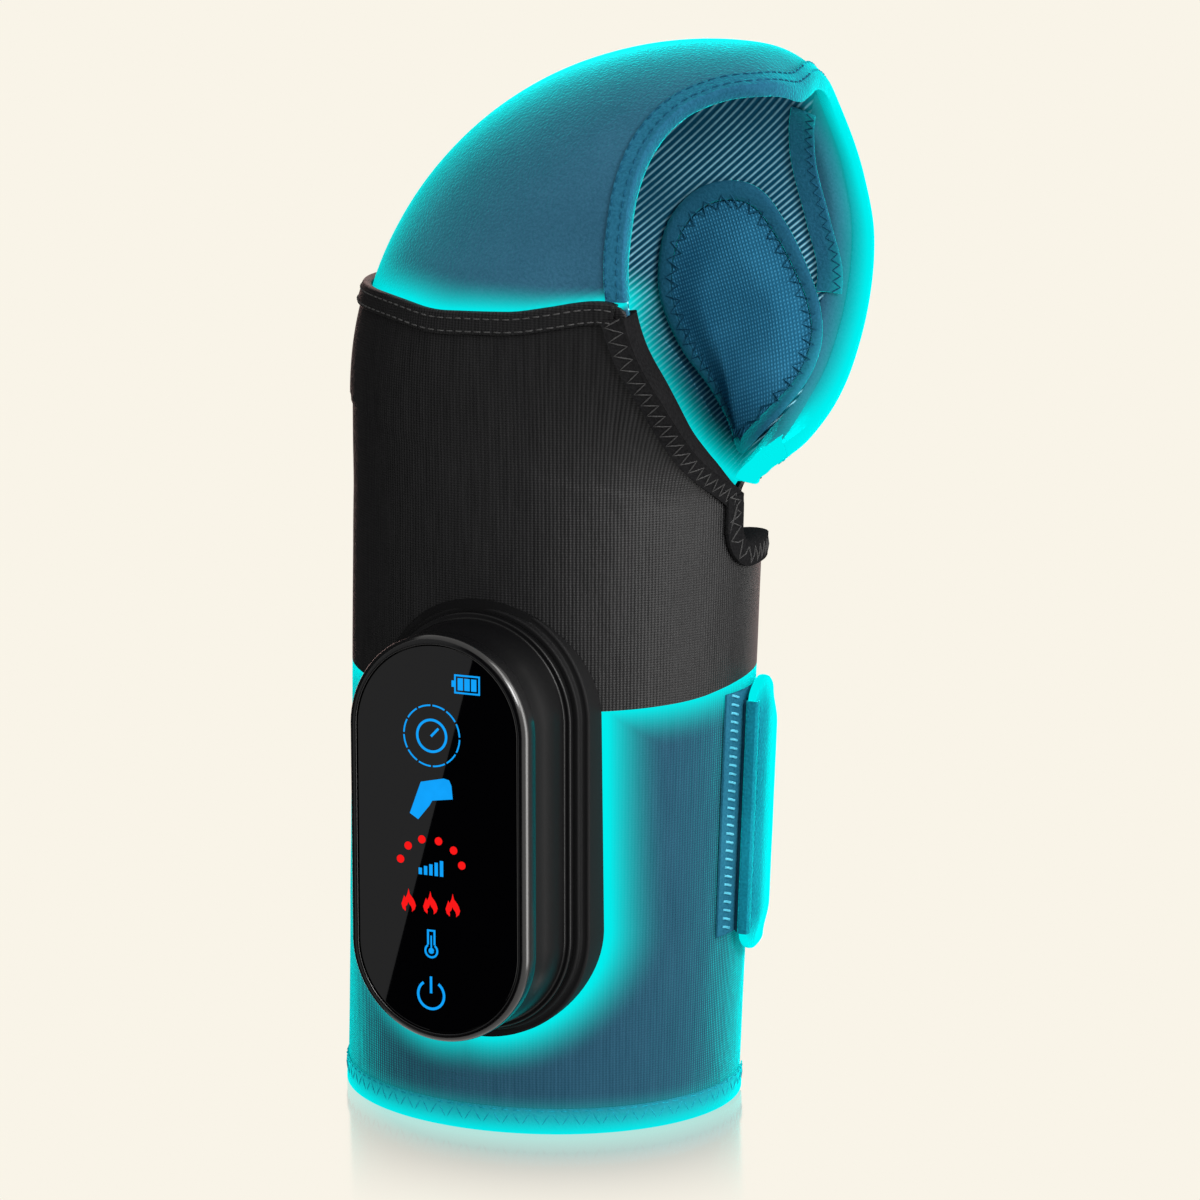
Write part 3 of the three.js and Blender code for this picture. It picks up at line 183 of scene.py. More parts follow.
# Where the lateral wall's side edge faces the medial wall
FACING_EDGE = [
    (0.427, 1.363), (0.448, 1.377), (0.469, 1.335), (0.504, 1.289), (0.542, 1.243), (0.58, 1.2),
    (0.622, 1.15), (0.667, 1.097), (0.736, 1.04), (0.818, 1.02), (0.88, 1.06),
]


def part_shift():
    """Where the leg form's origin lies in the part's frame, read from the lens."""
    low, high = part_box("touch_lens")
    middle = (low + high) / 2 / MM
    return Vector((middle.x - CONTROLLER_X, low.y / MM + LENS_FRONT, middle.z - CONTROLLER_Z))


SHIFT = part_shift()


def to_frame(place):
    return (place + SHIFT) * MM


# Plain helpers


def hex_colour(code):
    """An sRGB hex value as a linear colour."""
    parts = [int(code[i : i + 2], 16) / 255 for i in (1, 3, 5)]
    return tuple(c / 12.92 if c <= 0.04045 else ((c + 0.055) / 1.055) ** 2.4 for c in parts)


def smooth(share):
    s = min(max(share, 0.0), 1.0)
    return s * s * (3 - 2 * s)


def mix(a, b, share):
    return a + (b - a) * share


def steps(low, high, count):
    return [mix(low, high, i / count) for i in range(count + 1)]


def arc(cx, cy, radius, start, end, count):
    """Points of an arc, in degrees."""
    turns = [math.radians(angle) for angle in steps(start, end, count)]
    return [(cx + radius * math.cos(t), cy + radius * math.sin(t)) for t in turns]


def curve_at(table, turn):
    """A smooth curve through a table of turns and rises, read at a turn."""
    last = len(table) - 1
    i = 0
    while i < last - 1 and turn > table[i + 1][0]:
        i += 1

    def slope(k):
        low, high = table[max(k - 1, 0)], table[min(k + 1, last)]
        return (high[1] - low[1]) / (high[0] - low[0])

    span = table[i + 1][0] - table[i][0]
    t = min(max((turn - table[i][0]) / span, 0.0), 1.0)
    value = table[i][1] * (2 * t**3 - 3 * t**2 + 1) + table[i + 1][1] * (3 * t**2 - 2 * t**3)
    return value + span * (slope(i) * (t**3 - 2 * t**2 + t) + slope(i + 1) * (t**3 - t**2))


def smooth_outline(points, count):
    """A closed curve through places of the leg form."""
    total = len(points)
    out = []
    for k in range(count):
        place = k * total / count
        i, t = int(place), place - int(place)
        p = [points[(i + d) % total] for d in (-1, 0, 1, 2)]
        out.append(tuple(
            0.5 * (2 * p[1][a] + (p[2][a] - p[0][a]) * t
                   + (2 * p[0][a] - 5 * p[1][a] + 4 * p[2][a] - p[3][a]) * t * t
                   + (3 * p[1][a] - p[0][a] - 3 * p[2][a] + p[3][a]) * t**3)
            for a in (0, 1)
        ))
    return out + out[:1]


# The leg form


def crown_distance(bend):
    """From the pivot line behind the knee to the crown, at a bend."""
    c, s = math.cos(bend), math.sin(bend)
    straight = (2 * BEND_HALF_DEPTH + FOLD_RADIUS) / max(c, 1e-6)
    if BEND_HEIGHT + straight * s <= CROWN_Z:
        return straight
    dx, dz = PIVOT_X - CROWN_X, BEND_HEIGHT - CROWN_Z
    rx, rz = CROWN_HALF_DEPTH**2, CROWN_HALF_HEIGHT**2
    square = c * c / rx + s * s / rz
    middle = -c * dx / rx + s * dz / rz
    rest = dx * dx / rx + dz * dz / rz - 1
    return (-middle + math.sqrt(middle * middle - square * rest)) / square


def section(rise):
    """The leg's section at a rise: its bend, centre and half sizes."""
    if rise <= 1:
        return (
            0.0,
            LEAN * rise,
            BEND_HEIGHT * rise,
            mix(HEM_HALF_DEPTH, BEND_HALF_DEPTH, rise),
            mix(HEM_HALF_WIDTH, BEND_HALF_WIDTH, rise),
        )
    bend = (rise - 1) * math.pi / 2
    depth = (crown_distance(bend) - FOLD_RADIUS) / 2
    reach = FOLD_RADIUS + depth
    width = mix(BEND_HALF_WIDTH, KNEE_HALF_WIDTH, smooth((rise - 1) / KNEE_SPREAD))
    return bend, PIVOT_X - math.cos(bend) * reach, BEND_HEIGHT + math.sin(bend) * reach, depth, width


def droop(turn, rise):
    """How far the binding draws the crown's rim in over the knee cap, in millimetres."""
    if rise <= DROOP_START:
        return 0.0
    near = smooth((turn + 0.22) / 0.2) * smooth((0.55 - turn) / 0.5)
    return DROOP * ((rise - DROOP_START) / 0.1) ** 3 * near


def swell(turn, rise):
    """How far the wing's edge stands off behind the knee, in millimetres."""
    if turn < 0.8 or rise < 1.1:
        return 0.0
    return SWELL * smooth((turn - 0.8) / 0.12) * smooth((rise - 1.15) / 0.3) * smooth((1.95 - rise) / 0.3)


def leg_point(turn, rise, lift=0.0):
    """A place of the leg form, in millimetres."""
    bend, x, z, depth, width = section(rise)
    lift += swell(turn, rise) - droop(turn, rise)
    c, s = math.cos(math.pi * turn), math.sin(math.pi * turn)
    nx, ny = c / depth, s / width
    size = math.hypot(nx, ny)
    forward = depth * c + lift * nx / size
    across = width * s + lift * ny / size
    return Vector((x - math.cos(bend) * forward, across, z + math.sin(bend) * forward))


def unit_turn(turn, rise):
    """The turn that makes a millimetre."""
    return 1e-4 / (leg_point(turn, rise) - leg_point(turn + 1e-4, rise)).length


def unit_rise(turn, rise):
    """The rise that makes a millimetre."""
    return 1e-4 / (leg_point(turn, rise) - leg_point(turn, rise + 1e-4)).length


def rim(turn):
    return curve_at(RIM, turn)


def seam(turn):
    return curve_at(SEAM, turn)


def hood_low(turn):
    """The lower edge of the hood, just above its seam with the sleeve."""
    return seam(turn) + 0.3 * unit_rise(turn, seam(turn))


def band_top(turn):
    return curve_at(BAND_LINE, turn)


def sleeve_top(turn):
    if turn < NOTCH_SIDE:
        return NOTCH_LEVEL
    if turn < -CORNER:
        return rim(max(turn, RIM[0][0]))
    return curve_at(SLEEVE_TOP if turn < CORNER else MEDIAL_SIDE, turn)


def wing_turn(turn, rise):
    """The medial wing of the hood reaches further round the leg than the sleeve's medial end below it."""
    across = max(turn - WING_ROOT, 0.0) / (MEDIAL_END - WING_ROOT)
    cut_back = SLEEVE_CUT * (1 - smooth((rise - 0.97) / 0.09))
    return turn + across * (WING_REACH * smooth((rise - 1.07) / 0.12) * smooth((2.1 - rise) / 0.2) - cut_back)


def rim_draw(turn, rise):
    """How far the lining is drawn to the shell at the rim, in millimetres."""
    return RIM_DRAW * (1 - smooth(((rim(turn) - rise) / unit_rise(turn, min(rise, 1.9)) - 5) / 7))


def crease(turn, rise):
    """A slight unevenness of the worn cloth, in millimetres."""
    place = Vector((turn * 7.0, rise * 4.0, 2.3))
    return 0.22 * noise.noise(place) + 0.1 * noise.noise(place * 2.7)


# Painted glow, as shares from 0 to 1, by the distance in millimetres from the edge of a lit zone: the cloth is made
# to shine there though it is no lamp


def fade(distance, reach=GLOW_REACH):
    """The glow's share of the light, falling evenly to the eye."""
    return min(max(1 - distance / reach, 0.0), 1.0) ** 2


def to_pill(x, z, centre_x, centre_z, radius):
    over = max(abs(z - centre_z) - PILL_STRAIGHT / 2, 0.0)
    return math.hypot(x - centre_x, over) - radius


def band_glow(turn, rise):
    """The lower band glows at its top, its hem and round the controller and its shadow."""
    place = leg_point(turn, rise)
    edges = [band_top(turn) * BEND_HEIGHT - place.z, place.z + 0.5]
    if turn < 0:
        edges.append(to_pill(place.x, place.z, CONTROLLER_X, CONTROLLER_Z, BASE_RADIUS))
        edges.append(to_pill(place.x, place.z, CONTROLLER_X - 14.0, CONTROLLER_Z - 6.5, 31.0))
    return fade(max(min(edges), 0.0))


def hood_glow(turn, rise):
    """The hood glows along the sleeve's top hem and, past the knee cap, along its rim."""
    edges = [(rim(turn) - rise) / unit_rise(turn, rise) + GLOW_REACH * smooth((0.2 - turn) / 0.25)]
    if abs(turn) < CORNER:
        edges.append((rise - sleeve_top(turn)) / unit_rise(turn, rise) - 1.5)
    return fade(max(min(edges), 0.0))


def near_line(place, points):
    """The least distance from a place to a line through points."""
    best = 1e9
    for a, b in zip(points, points[1:]):
        along = b - a
        t = min(max((place - a).dot(along) / along.dot(along), 0.0), 1.0)
        best = min(best, (place - a - along * t).length)
    return best


def inside_glow():
    """The inside glows along the rim of the medial wall and where the lateral wall's edge faces it."""
    facing = [leg_point(turn, rise, LINING_INNER) for turn, rise in FACING_EDGE]
    edge = [(turn, rim(turn)) for turn in steps(0.12, MEDIAL_END, 14)] + [(MEDIAL_END, 1.5), (MEDIAL_END, 1.06)]
    far = [leg_point(wing_turn(turn, rise), rise, LINING_INNER) for turn, rise in edge]

    def value(turn, rise):
        if turn < 0.1:
            return 0.0
        place = leg_point(turn, rise, LINING_INNER)
        return fade(min(near_line(place, facing), near_line(place, far)))

    return value


# Mesh makers


def finish(mesh, name, wear, nodes="", body="wrap", sharp=40.0):
    """Makes a piece from a bmesh in the part's frame, gives it the listed materials, hides the CAD nodes whose
    names are listed, and puts it on its body."""
    for edge in mesh.edges:
        edge.smooth = len(edge.link_faces) != 2 or edge.calc_face_angle() < math.radians(sharp)
    for face in mesh.faces:
        face.smooth = True
    data = bpy.data.meshes.new(name)
    mesh.to_mesh(data)
    mesh.free()
    for material_name in wear.split():
        data.materials.append(bpy.data.materials[material_name])
    piece = bpy.data.objects.new(name, data)
    bpy.context.scene.collection.objects.link(piece)
    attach(piece, body)
    if nodes:
        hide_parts(*nodes.split())
    return piece


def grid(columns, loop):
    """A bmesh grid with a layer for the glow, and the column and loop entry that each vertex stands for."""
    mesh = bmesh.new()
    across, around = len(columns) - 1, len(loop) - 1
    bmesh.ops.create_grid(mesh, x_segments=across, y_segments=around, size=0.5)
    mesh.verts.layers.float.new("glow")
    return mesh, {
        vert: (columns[round((vert.co.x + 0.5) * across)], loop[round((vert.co.y + 0.5) * around)])
        for vert in mesh.verts
    }


def close(mesh):
    """Joins a grid's ends where they meet and fills the others."""
    bmesh.ops.remove_doubles(mesh, verts=mesh.verts[:], dist=1e-6)
    bmesh.ops.holes_fill(mesh, edges=[e for e in mesh.edges if e.is_boundary], sides=0)
    bmesh.ops.recalc_face_normals(mesh, faces=mesh.faces[:])
    return mesh


def skin(columns, loop, place, glow=None, paint=None):
    """A grid wrapped over the leg form. Each column and loop entry goes to place, which gives a turn, a rise
    and a lift."""
    mesh, entries = grid(columns, loop)
    uv = mesh.loops.layers.uv.verify()
    lit = mesh.verts.layers.float["glow"]
    flat, spots = {}, {}
    _, middle_x, _, depth, width = section(1.0)
    for vert, entry in entries.items():
        turn, rise, lift = place(*entry)
        spot = leg_point(turn, rise, lift)
        vert.co = to_frame(spot)
        vert[lit] = glow(turn, rise) if glow else 0.0
        round_leg = math.atan2(spot.y / width, (middle_x - spot.x) / depth) / math.pi
        spots[vert] = (turn, rise)
        flat[vert] = ((round_leg - (2 if turn < -0.5 and round_leg > 0.5 else 0)) * HALF_GIRTH, spot.z)
    for face in mesh.faces:
        for corner in face.loops:
            corner[uv].uv = flat[corner.vert]
        if paint:
            face.material_index = paint(*(sum(spots[v][k] for v in face.verts) / len(face.verts) for k in (0, 1)))
    return close(mesh)


def layer_loop(heights_out, heights_in):
    """The closed section of a layer: up its outer face, over a round edge and down its inner face."""
    rounding = [(0.25, 0.93), (0.4, 0.72), (0.45, 0.5), (0.4, 0.28), (0.25, 0.07)]
    loop = [(h, 0.0, 1.0) for h in heights_out]
    loop += [(1.0, over, side) for over, side in rounding]
    loop += [(h, 0.0, 0.0) for h in reversed(heights_in)]
    loop += [(0.0, -over, 1 - side) for over, side in rounding]
    return loop + loop[:1]


def layer(turns, loop, low, high, inner, outer, uneven=0.0, relief=None, wing=True, glow=None):
    """A sewn layer between two lifts, from one line of the pattern to another."""

    def place(turn, mark):
        height, over, side = mark
        rise = mix(low(turn), high(turn), height)
        if over:
            rise += over * (outer - inner) * unit_rise(turn, rise)
        lift = mix(inner, outer, side)
        if uneven:
            lift += uneven * crease(turn, rise)
        if relief:
            lift += relief(turn, rise, side)
        return wing_turn(turn, rise) if wing else turn, rise, lift

    return skin(turns, loop, place, glow=glow)


def across_path(turn, rise, before, after):
    """The turn and the rise that lead a millimetre to the left of a path."""
    ut, ur = unit_turn(turn, rise), unit_rise(turn, rise)
    along = Vector(((after[0] - before[0]) / ut, (after[1] - before[1]) / ur)).normalized()
    return -along.y * ut, along.x * ur


def tape(path, profile, name, wear, nodes, glow=None, body="wrap"):
    """A piece of tape along a path of turns and rises. Each profile point is a distance to the left and a lift."""
    last = len(path) - 1
    sides = [
        (*spot, *across_path(*spot, path[max(i - 1, 0)], path[min(i + 1, last)])) for i, spot in enumerate(path)
    ]

    def place(entry, mark):
        turn, rise, across, up = entry
        return turn + across * mark[0], rise + up * mark[0], mark[1]

    return finish(skin(sides, profile + profile[:1], place, glow=glow), name, wear, nodes, body)


def fold_profile(width, inner, outer, depth=TAPE, side=1.0):
    """A tape folded over an edge: two legs and a round fold."""
    middle, half = (inner + outer) / 2, (outer - inner) / 2
    edge = -HEM_EDGE
    points = [(width, outer), (width * 0.5, outer), (edge, outer)]
    points += [(edge, middle), (edge, inner), (width * 0.5, inner), (width, inner)]
    points += [(width + 0.15, inner - depth * 0.5), (width, inner - depth), (width * 0.5, inner - depth)]
    for angle in range(0, 181, 22):
        c, s = math.cos(math.radians(angle)), math.sin(math.radians(angle))
        points.append((edge - depth * s, middle - (half + depth) * c))
    points += [(width * 0.5, outer + depth), (width, outer + depth), (width + 0.15, outer + depth * 0.5)]
    return [(side * x, y) for x, y in points]


def along_path(path):
    """The length in millimetres along a path of turns and rises, and a reader of it."""
    places = [leg_point(turn, rise, OUTSIDE_TAPE) for turn, rise in path]
    lengths = [0.0]
    for a, b in zip(places, places[1:]):
        lengths.append(lengths[-1] + (b - a).length)

    def at(distance, side):
        """A turn and rise at a distance along the path and to its left."""
        i = 0
        while i < len(lengths) - 2 and distance > lengths[i + 1]:
            i += 1
        t = (distance - lengths[i]) / max(lengths[i + 1] - lengths[i], 1e-9)
        turn, rise = (mix(path[i][k], path[i + 1][k], t) for k in (0, 1))
        across, up = across_path(turn, rise, path[i], path[i + 1])
        return turn + across * side, rise + up * side

    return lengths[-1], at


def zigzag(path, near, far, lift, pitch, sink=0.25):
    """Points of a zigzag stitch between two distances from a path."""
    total, at = along_path(path)
    count = max(int(total / (pitch / 2)), 2)
    line = []
    for i in range(count + 1):
        line.append((*at(total * i / count, near if i % 2 else far), lift - sink))
        if i < count:
            line.append((*at(total * (i + 0.5) / count, (near + far) / 2), lift + 0.12))
    return [line]


def running(path, side, lift, stitch, gap, sink=0.3):
    """Points of a line of straight stitches at a distance from a path."""
    total, at = along_path(path)
    lines = []
    place = gap
    while place + stitch < total:
        marks = ((0.0, -sink), (0.25, 0.1), (0.75, 0.1), (1.0, -sink))
        lines.append([(*at(place + stitch * t, side), lift + height) for t, height in marks])
        place += stitch + gap
    return lines


def threads(name, lines, gauge, wear, body="wrap"):
    """Stitches as fine tubes along lines of turns, rises and lifts, as thick as the thread times the gauge."""
    curve = bpy.data.curves.new(name, "CURVE")
    curve.dimensions = "3D"
    curve.bevel_depth = gauge * (cloth().thread_diameter / MM) / 2 * MM
    curve.bevel_resolution = 1
    curve.use_fill_caps = True
    for line in lines:
        spline = curve.splines.new("POLY")
        spline.points.add(len(line) - 1)
        for point, place in zip(spline.points, line):
            point.co = (*to_frame(leg_point(*place)), 1.0)
    holder = bpy.data.objects.new(name + "_line", curve)
    bpy.context.scene.collection.objects.link(holder)
    bpy.context.view_layer.update()
    data = bpy.data.meshes.new_from_object(holder.evaluated_get(bpy.context.evaluated_depsgraph_get()))
    mesh = bmesh.new()
    mesh.from_mesh(data)
    bpy.data.objects.remove(holder)
    bpy.data.curves.remove(curve)
    bpy.data.meshes.remove(data)
    bmesh.ops.remove_doubles(mesh, verts=mesh.verts[:], dist=1e-7)
    bmesh.ops.recalc_face_normals(mesh, faces=mesh.faces[:])
    return finish(mesh, name, wear, body=body, sharp=80.0)


def pill(profile):
    """A turned shape about the depth axis whose halves are drawn apart, as a bmesh in the part's frame."""
    mesh = bmesh.new()
    start = Matrix.Rotation(math.pi / PILL_STEPS, 4, "Y")
    verts = [mesh.verts.new(start @ Vector((radius, -depth, 0))) for radius, depth in profile]
    edges = [mesh.edges.new(pair) for pair in zip(verts, verts[1:])]
    bmesh.ops.spin(
        mesh, geom=verts + edges, cent=(0, 0, 0), axis=(0, 1, 0), angle=2 * math.pi, steps=PILL_STEPS,
        use_merge=True,
    )
    bmesh.ops.remove_doubles(mesh, verts=mesh.verts[:], dist=1e-5)
    for vert in mesh.verts:
        if math.hypot(vert.co.x, vert.co.z) > 1e-4:
            vert.co.z += math.copysign(PILL_STRAIGHT / 2, vert.co.z)
    bmesh.ops.recalc_face_normals(mesh, faces=mesh.faces[:])
    centre = Vector((CONTROLLER_X, 0, CONTROLLER_Z))
    for vert in mesh.verts:
        vert.co = to_frame(vert.co + centre)
    return mesh


# Materials

BLACK = (0.0, 0.0, 0.0)
SHEEN_ROUGHNESS = 0.35
SHEEN_GAIN = 1.8


def set_values(node, **values):
    """Sets a node's values: a lower-case name is a setting, and a name with a capital is a socket."""
    for key, value in values.items():
        if key[0].islower():
            setattr(node, key, value)
        else:
            node.inputs[key.replace("_", " ")].default_value = value


def add_node(tree, kind, links=None, **values):
    """Adds a node with its values and its links."""
    node = tree.nodes.new(kind)
    set_values(node, **values)
    for socket, source in (links or {}).items():
        tree.links.new(source, node.inputs[socket])
    return node


def material(name, colour, roughness, **sockets):
    """A new material with a Principled shader whose constants sit on its own sockets."""
    made = bpy.data.materials.new(name)
    made.use_nodes = True
    shader = made.node_tree.nodes["Principled BSDF"]
    set_values(shader, Base_Color=(*colour, 1.0), Roughness=roughness, **sockets)
    return made, made.node_tree, shader


def shining(name, colour):
    """A material that gives only its own even light."""
    return material(name, BLACK, 1.0, Specular_IOR_Level=0.0, Emission_Color=(*colour, 1), Emission_Strength=1.0)


def coordinates(tree, kind="Object"):
    return add_node(tree, "ShaderNodeTexCoord").outputs[kind]


def bumped(tree, shader, height, strength, distance_mm):
    bump = add_node(tree, "ShaderNodeBump", {"Height": height}, Strength=strength, Distance=distance_mm * MM)
    tree.links.new(bump.outputs["Normal"], shader.inputs["Normal"])


def wave_at(tree, vector, pitch, direction, distortion):
    """Bands of a pitch in the vector's own unit."""
    wave = add_node(
        tree, "ShaderNodeTexWave", {"Vector": vector}, bands_direction=direction,
        Scale=math.pi / 10 / pitch, Distortion=distortion, Detail_Scale=1.0,
    )
    return wave.outputs["Fac"]


def noise_at(tree, vector, scale, detail=3.0, stretch=(1, 1, 1)):
    mapped = add_node(tree, "ShaderNodeMapping", {"Vector": vector}, Scale=stretch)
    cloud = add_node(tree, "ShaderNodeTexNoise", {"Vector": mapped.outputs["Vector"]}, Scale=scale, Detail=detail)
    return cloud.outputs["Fac"]


def ramp(tree, source, low, high):
    """A colour that goes from one to the other between two places, each given with its colour."""
    node = add_node(tree, "ShaderNodeValToRGB", {"Fac": source})
    for element, (place, colour) in zip(node.color_ramp.elements, (low, high)):
        element.position = place
        element.color = (*colour, 1)
    return node.outputs["Color"]


def arith(tree, operation, *operands):
    node = add_node(tree, "ShaderNodeMath", operation=operation)
    for socket, value in zip(node.inputs, operands):
        if isinstance(value, (int, float)):
            socket.default_value = value
        else:
            tree.links.new(value, socket)
    return node.outputs[0]


def weigh(tree, a, share_a, b, share_b):
    """Two tones added by their shares."""
    return arith(tree, "ADD", arith(tree, "MULTIPLY", a, share_a), arith(tree, "MULTIPLY", b, share_b))


def blend_colour(tree, share, a, b):
    node = add_node(tree, "ShaderNodeMix", {0: share}, data_type="RGBA")
    for socket, value in ((node.inputs[6], a), (node.inputs[7], b)):
        if isinstance(value, tuple):
            socket.default_value = (*value, 1)
        else:
            tree.links.new(value, socket)
    return node.outputs[2]


def dress(tree, shader, colour, glow, power, sheen=False):
    """Colours a cloth, turns it to the glow along the lit edges that the mesh carries as an attribute, and
    gives it a sheen in the glow's colour."""
    # Painted glow: where the glow attribute is high the colour fades to black and the cloth shines in the glow
    # colour
    if glow:
        share = add_node(tree, "ShaderNodeAttribute", attribute_name="glow").outputs["Fac"]
        tree.links.new(blend_colour(tree, share, BLACK, glow), shader.inputs["Emission Color"])
        shader.inputs["Emission Strength"].default_value = power
        colour = blend_colour(tree, share, colour, BLACK)
    tree.links.new(colour, shader.inputs["Base Color"])
    if sheen:
        tint = (*(SHEEN_GAIN * c for c in glow), 1)
        set_values(shader, Sheen_Weight=1.0, Sheen_Roughness=SHEEN_ROUGHNESS, Sheen_Tint=tint)


def knit(name, dark, light, glow=None, power=0.0, gloss=0.0):
    """Elastic knit of polyester and spandex: fine upright wales crossed by finer courses, dull, with faint
    upright streaks where the yarn is denser."""
    _, tree, shader = material(name, dark, 0.45, Specular_IOR_Level=gloss)
    where = coordinates(tree, "UV")
    wales = wave_at(tree, where, 1.05, "X", 0.6)
    courses = wave_at(tree, where, 0.8, "Y", 0.4)
    streaks = noise_at(tree, where, 1.0, 4.0, (0.9, 0.05, 1))
    # The colour follows the wales and courses that also raise the relief: lighter on their crests and darker in
    # their valleys, a painted shade, mixed with upright streaks
    weave = weigh(tree, wales, 0.6, courses, 0.4)
    colour = ramp(tree, weigh(tree, weave, 0.45, streaks, 0.75), (0.2, dark), (0.9, light))
    folds = noise_at(tree, where, 0.075, 3.0, (1.0, 0.5, 1))
    bumped(tree, shader, weigh(tree, weave, 1.0, folds, 5.0), 0.6, 0.28)
    dress(tree, shader, colour, glow, power, bool(glow))


def crepe(name, dark, light, glow=None, power=0.0, sheen=False):
    """Crepe-faced knit over foam: a fine pebbled grain in all directions, dull with a soft edge sheen."""
    _, tree, shader = material(name, dark, 0.78, Specular_IOR_Level=0.0)
    where = coordinates(tree)
    grain = noise_at(tree, where, 1150.0, 2.0)
    # Large soft patches of lighter and darker colour: painted shade of soft folds
    cloud = noise_at(tree, where, 28.0, 3.0)
    # The colour is lighter where the grain stands up and darker in its hollows: painted shade
    colour = ramp(tree, weigh(tree, grain, 0.5, cloud, 0.5), (0.3, dark), (0.7, light))
    bumped(tree, shader, grain, 0.6, 0.5)
    dress(tree, shader, colour, glow, power, sheen)


def rib_phase(place):
    return (-place.x * math.sin(RIB_ANGLE) + place.z * math.cos(RIB_ANGLE)) * 2 * math.pi / RIB_PITCH


def ribbed_mesh(name, dark, light, glow, power):
    """Elastic rib mesh: slanted cords with open gaps, with a painted highlight on their crests that is stronger in
    random patches.
    """
    _, tree, shader = material(name, dark, 0.5, Specular_IOR_Level=0.0)
    where = coordinates(tree)
    slant = add_node(tree, "ShaderNodeVectorMath", {0: where}, operation="DOT_PRODUCT")
    slant.inputs[1].default_value = (-math.sin(RIB_ANGLE), 0.0, math.cos(RIB_ANGLE))
    phase = arith(tree, "MULTIPLY", slant.outputs["Value"], 2 * math.pi / RIB_PITCH / MM)
    crest = arith(tree, "ADD", arith(tree, "MULTIPLY", arith(tree, "SINE", phase), 0.5), 0.5)
    loops = noise_at(tree, where, 900.0, 1.0)
    # Random patches where the crests' painted highlight is strong
    highlight_patches = noise_at(tree, where, 13.0, 2.0)
    bright = ramp(tree, highlight_patches, (0.42, (0.25, 0.25, 0.25)), (0.6, (1.0, 1.0, 1.0)))
    # The crests are painted lighter than the gaps: painted highlight on the crests, painted shade in the gaps
    tone = weigh(tree, arith(tree, "POWER", crest, 3.0), bright, loops, 0.15)
    colour = ramp(tree, tone, (0.1, dark), (1.0, light))
    bumped(tree, shader, crest, 0.7, 0.45)
    dress(tree, shader, colour, glow, power)


def waffle(name, dark, light, glow, power):
    """Waffle knit over a thin foam pad: small pits in rows."""
    _, tree, shader = material(name, dark, 0.8, Specular_IOR_Level=0.0)
    where = coordinates(tree)
    turned = add_node(tree, "ShaderNodeMapping", {"Vector": where}, Rotation=(0, math.radians(20), 0))
    rows = wave_at(tree, turned.outputs["Vector"], 1.25 * MM, "Z", 0.8)
    files = wave_at(tree, turned.outputs["Vector"], 1.1 * MM, "X", 0.8)
    pits = arith(tree, "MULTIPLY", rows, files)
    cloud = noise_at(tree, where, 45.0, 2.0)
    # The colour is lighter on the raised rows and darker in the pits: painted shade in the pits
    colour = ramp(tree, weigh(tree, pits, 0.55, cloud, 0.5), (0.25, dark), (0.8, light))
    bumped(tree, shader, pits, 0.7, 0.4)
    dress(tree, shader, colour, glow, power)


def moulded(name, code, roughness, grain_mm, depth, uneven=0.08, **sockets):
    """Moulded plastic or rubber: an even tone with a fine spark-eroded grain and a faintly uneven gloss."""
    _, tree, shader = material(name, hex_colour(code), roughness, **sockets)
    where = coordinates(tree)
    grain = noise_at(tree, where, 1 / (grain_mm * MM), 2.0)
    cloud = noise_at(tree, where, 60.0, 2.0)
    gloss = arith(tree, "ADD", arith(tree, "MULTIPLY", cloud, uneven), roughness - uneven / 2)
    tree.links.new(gloss, shader.inputs["Roughness"])
    bumped(tree, shader, grain, depth, 0.05)


def lamp(name, colour, power):
    """Light through a printed mask: a flat even colour from behind the lens."""
    _, tree, shader = material(name, BLACK, 0.35, Specular_IOR_Level=0.0, Emission_Strength=power)
    cloud = noise_at(tree, coordinates(tree), 250.0, 1.0)
    dim = tuple(0.93 * c for c in colour)
    tree.links.new(ramp(tree, cloud, (0.3, dim), (0.7, colour)), shader.inputs["Emission Color"])


# Settings


def colour_setting(name, about, code):
    return bpy.props.FloatVectorProperty(
        name=name, description=about, subtype="COLOR", size=3, min=0.0, max=1.0, default=hex_colour(code)
    )


def number_setting(name, about, default, low, high, **kind):
    return bpy.props.FloatProperty(name=name, description=about, default=default, min=low, max=high, **kind)


class KneeClothSettings(bpy.types.PropertyGroup):
    # Each dark colour goes in the cloth's hollows and each light one on its raised parts: painted shade of the
    # relief
    black_dark: colour_setting("Black cloth, dark", "Valleys of the black knit", "#080809")
    black_light: colour_setting("Black cloth, light", "Crests of the black knit", "#1B1B1C")
    blue_dark: colour_setting("Blue cloth, dark", "Valleys of the blue knit", "#1F3F54")
    blue_light: colour_setting("Blue cloth, light", "Crests of the blue knit", "#2D536A")
    glow_colour: colour_setting("Glow", "Colour of the lit edges", "#00EEEE")
    glow_strength: number_setting("Glow strength", "How brightly the lit edges shine", 1.0, 0.0, 5.0)
    thread_diameter: number_setting(
        "Thread", "Diameter of the stitching thread", 0.5 * MM, 0.1 * MM, 1.5 * MM, unit="LENGTH"
    )


class KneeControllerSettings(bpy.types.PropertyGroup):
    icon_blue: colour_setting("Blue icons", "Colour of the blue display lights", "#12A5FF")
    icon_red: colour_setting("Red icons", "Colour of the red display lights", "#FF1A1A")
    icon_strength: number_setting("Display", "How brightly the display shines", 1.0, 0.0, 5.0)
    icon_depth: number_setting(
        "Icon depth", "How far an icon stands on the lens", 0.08 * MM, 0.02 * MM, 0.5 * MM, unit="LENGTH"
    )
    bezel_round: number_setting(
        "Bezel round", "Radius of the bezel's front edge", 2.6 * MM, 0.5 * MM, 3.0 * MM, unit="LENGTH"
    )


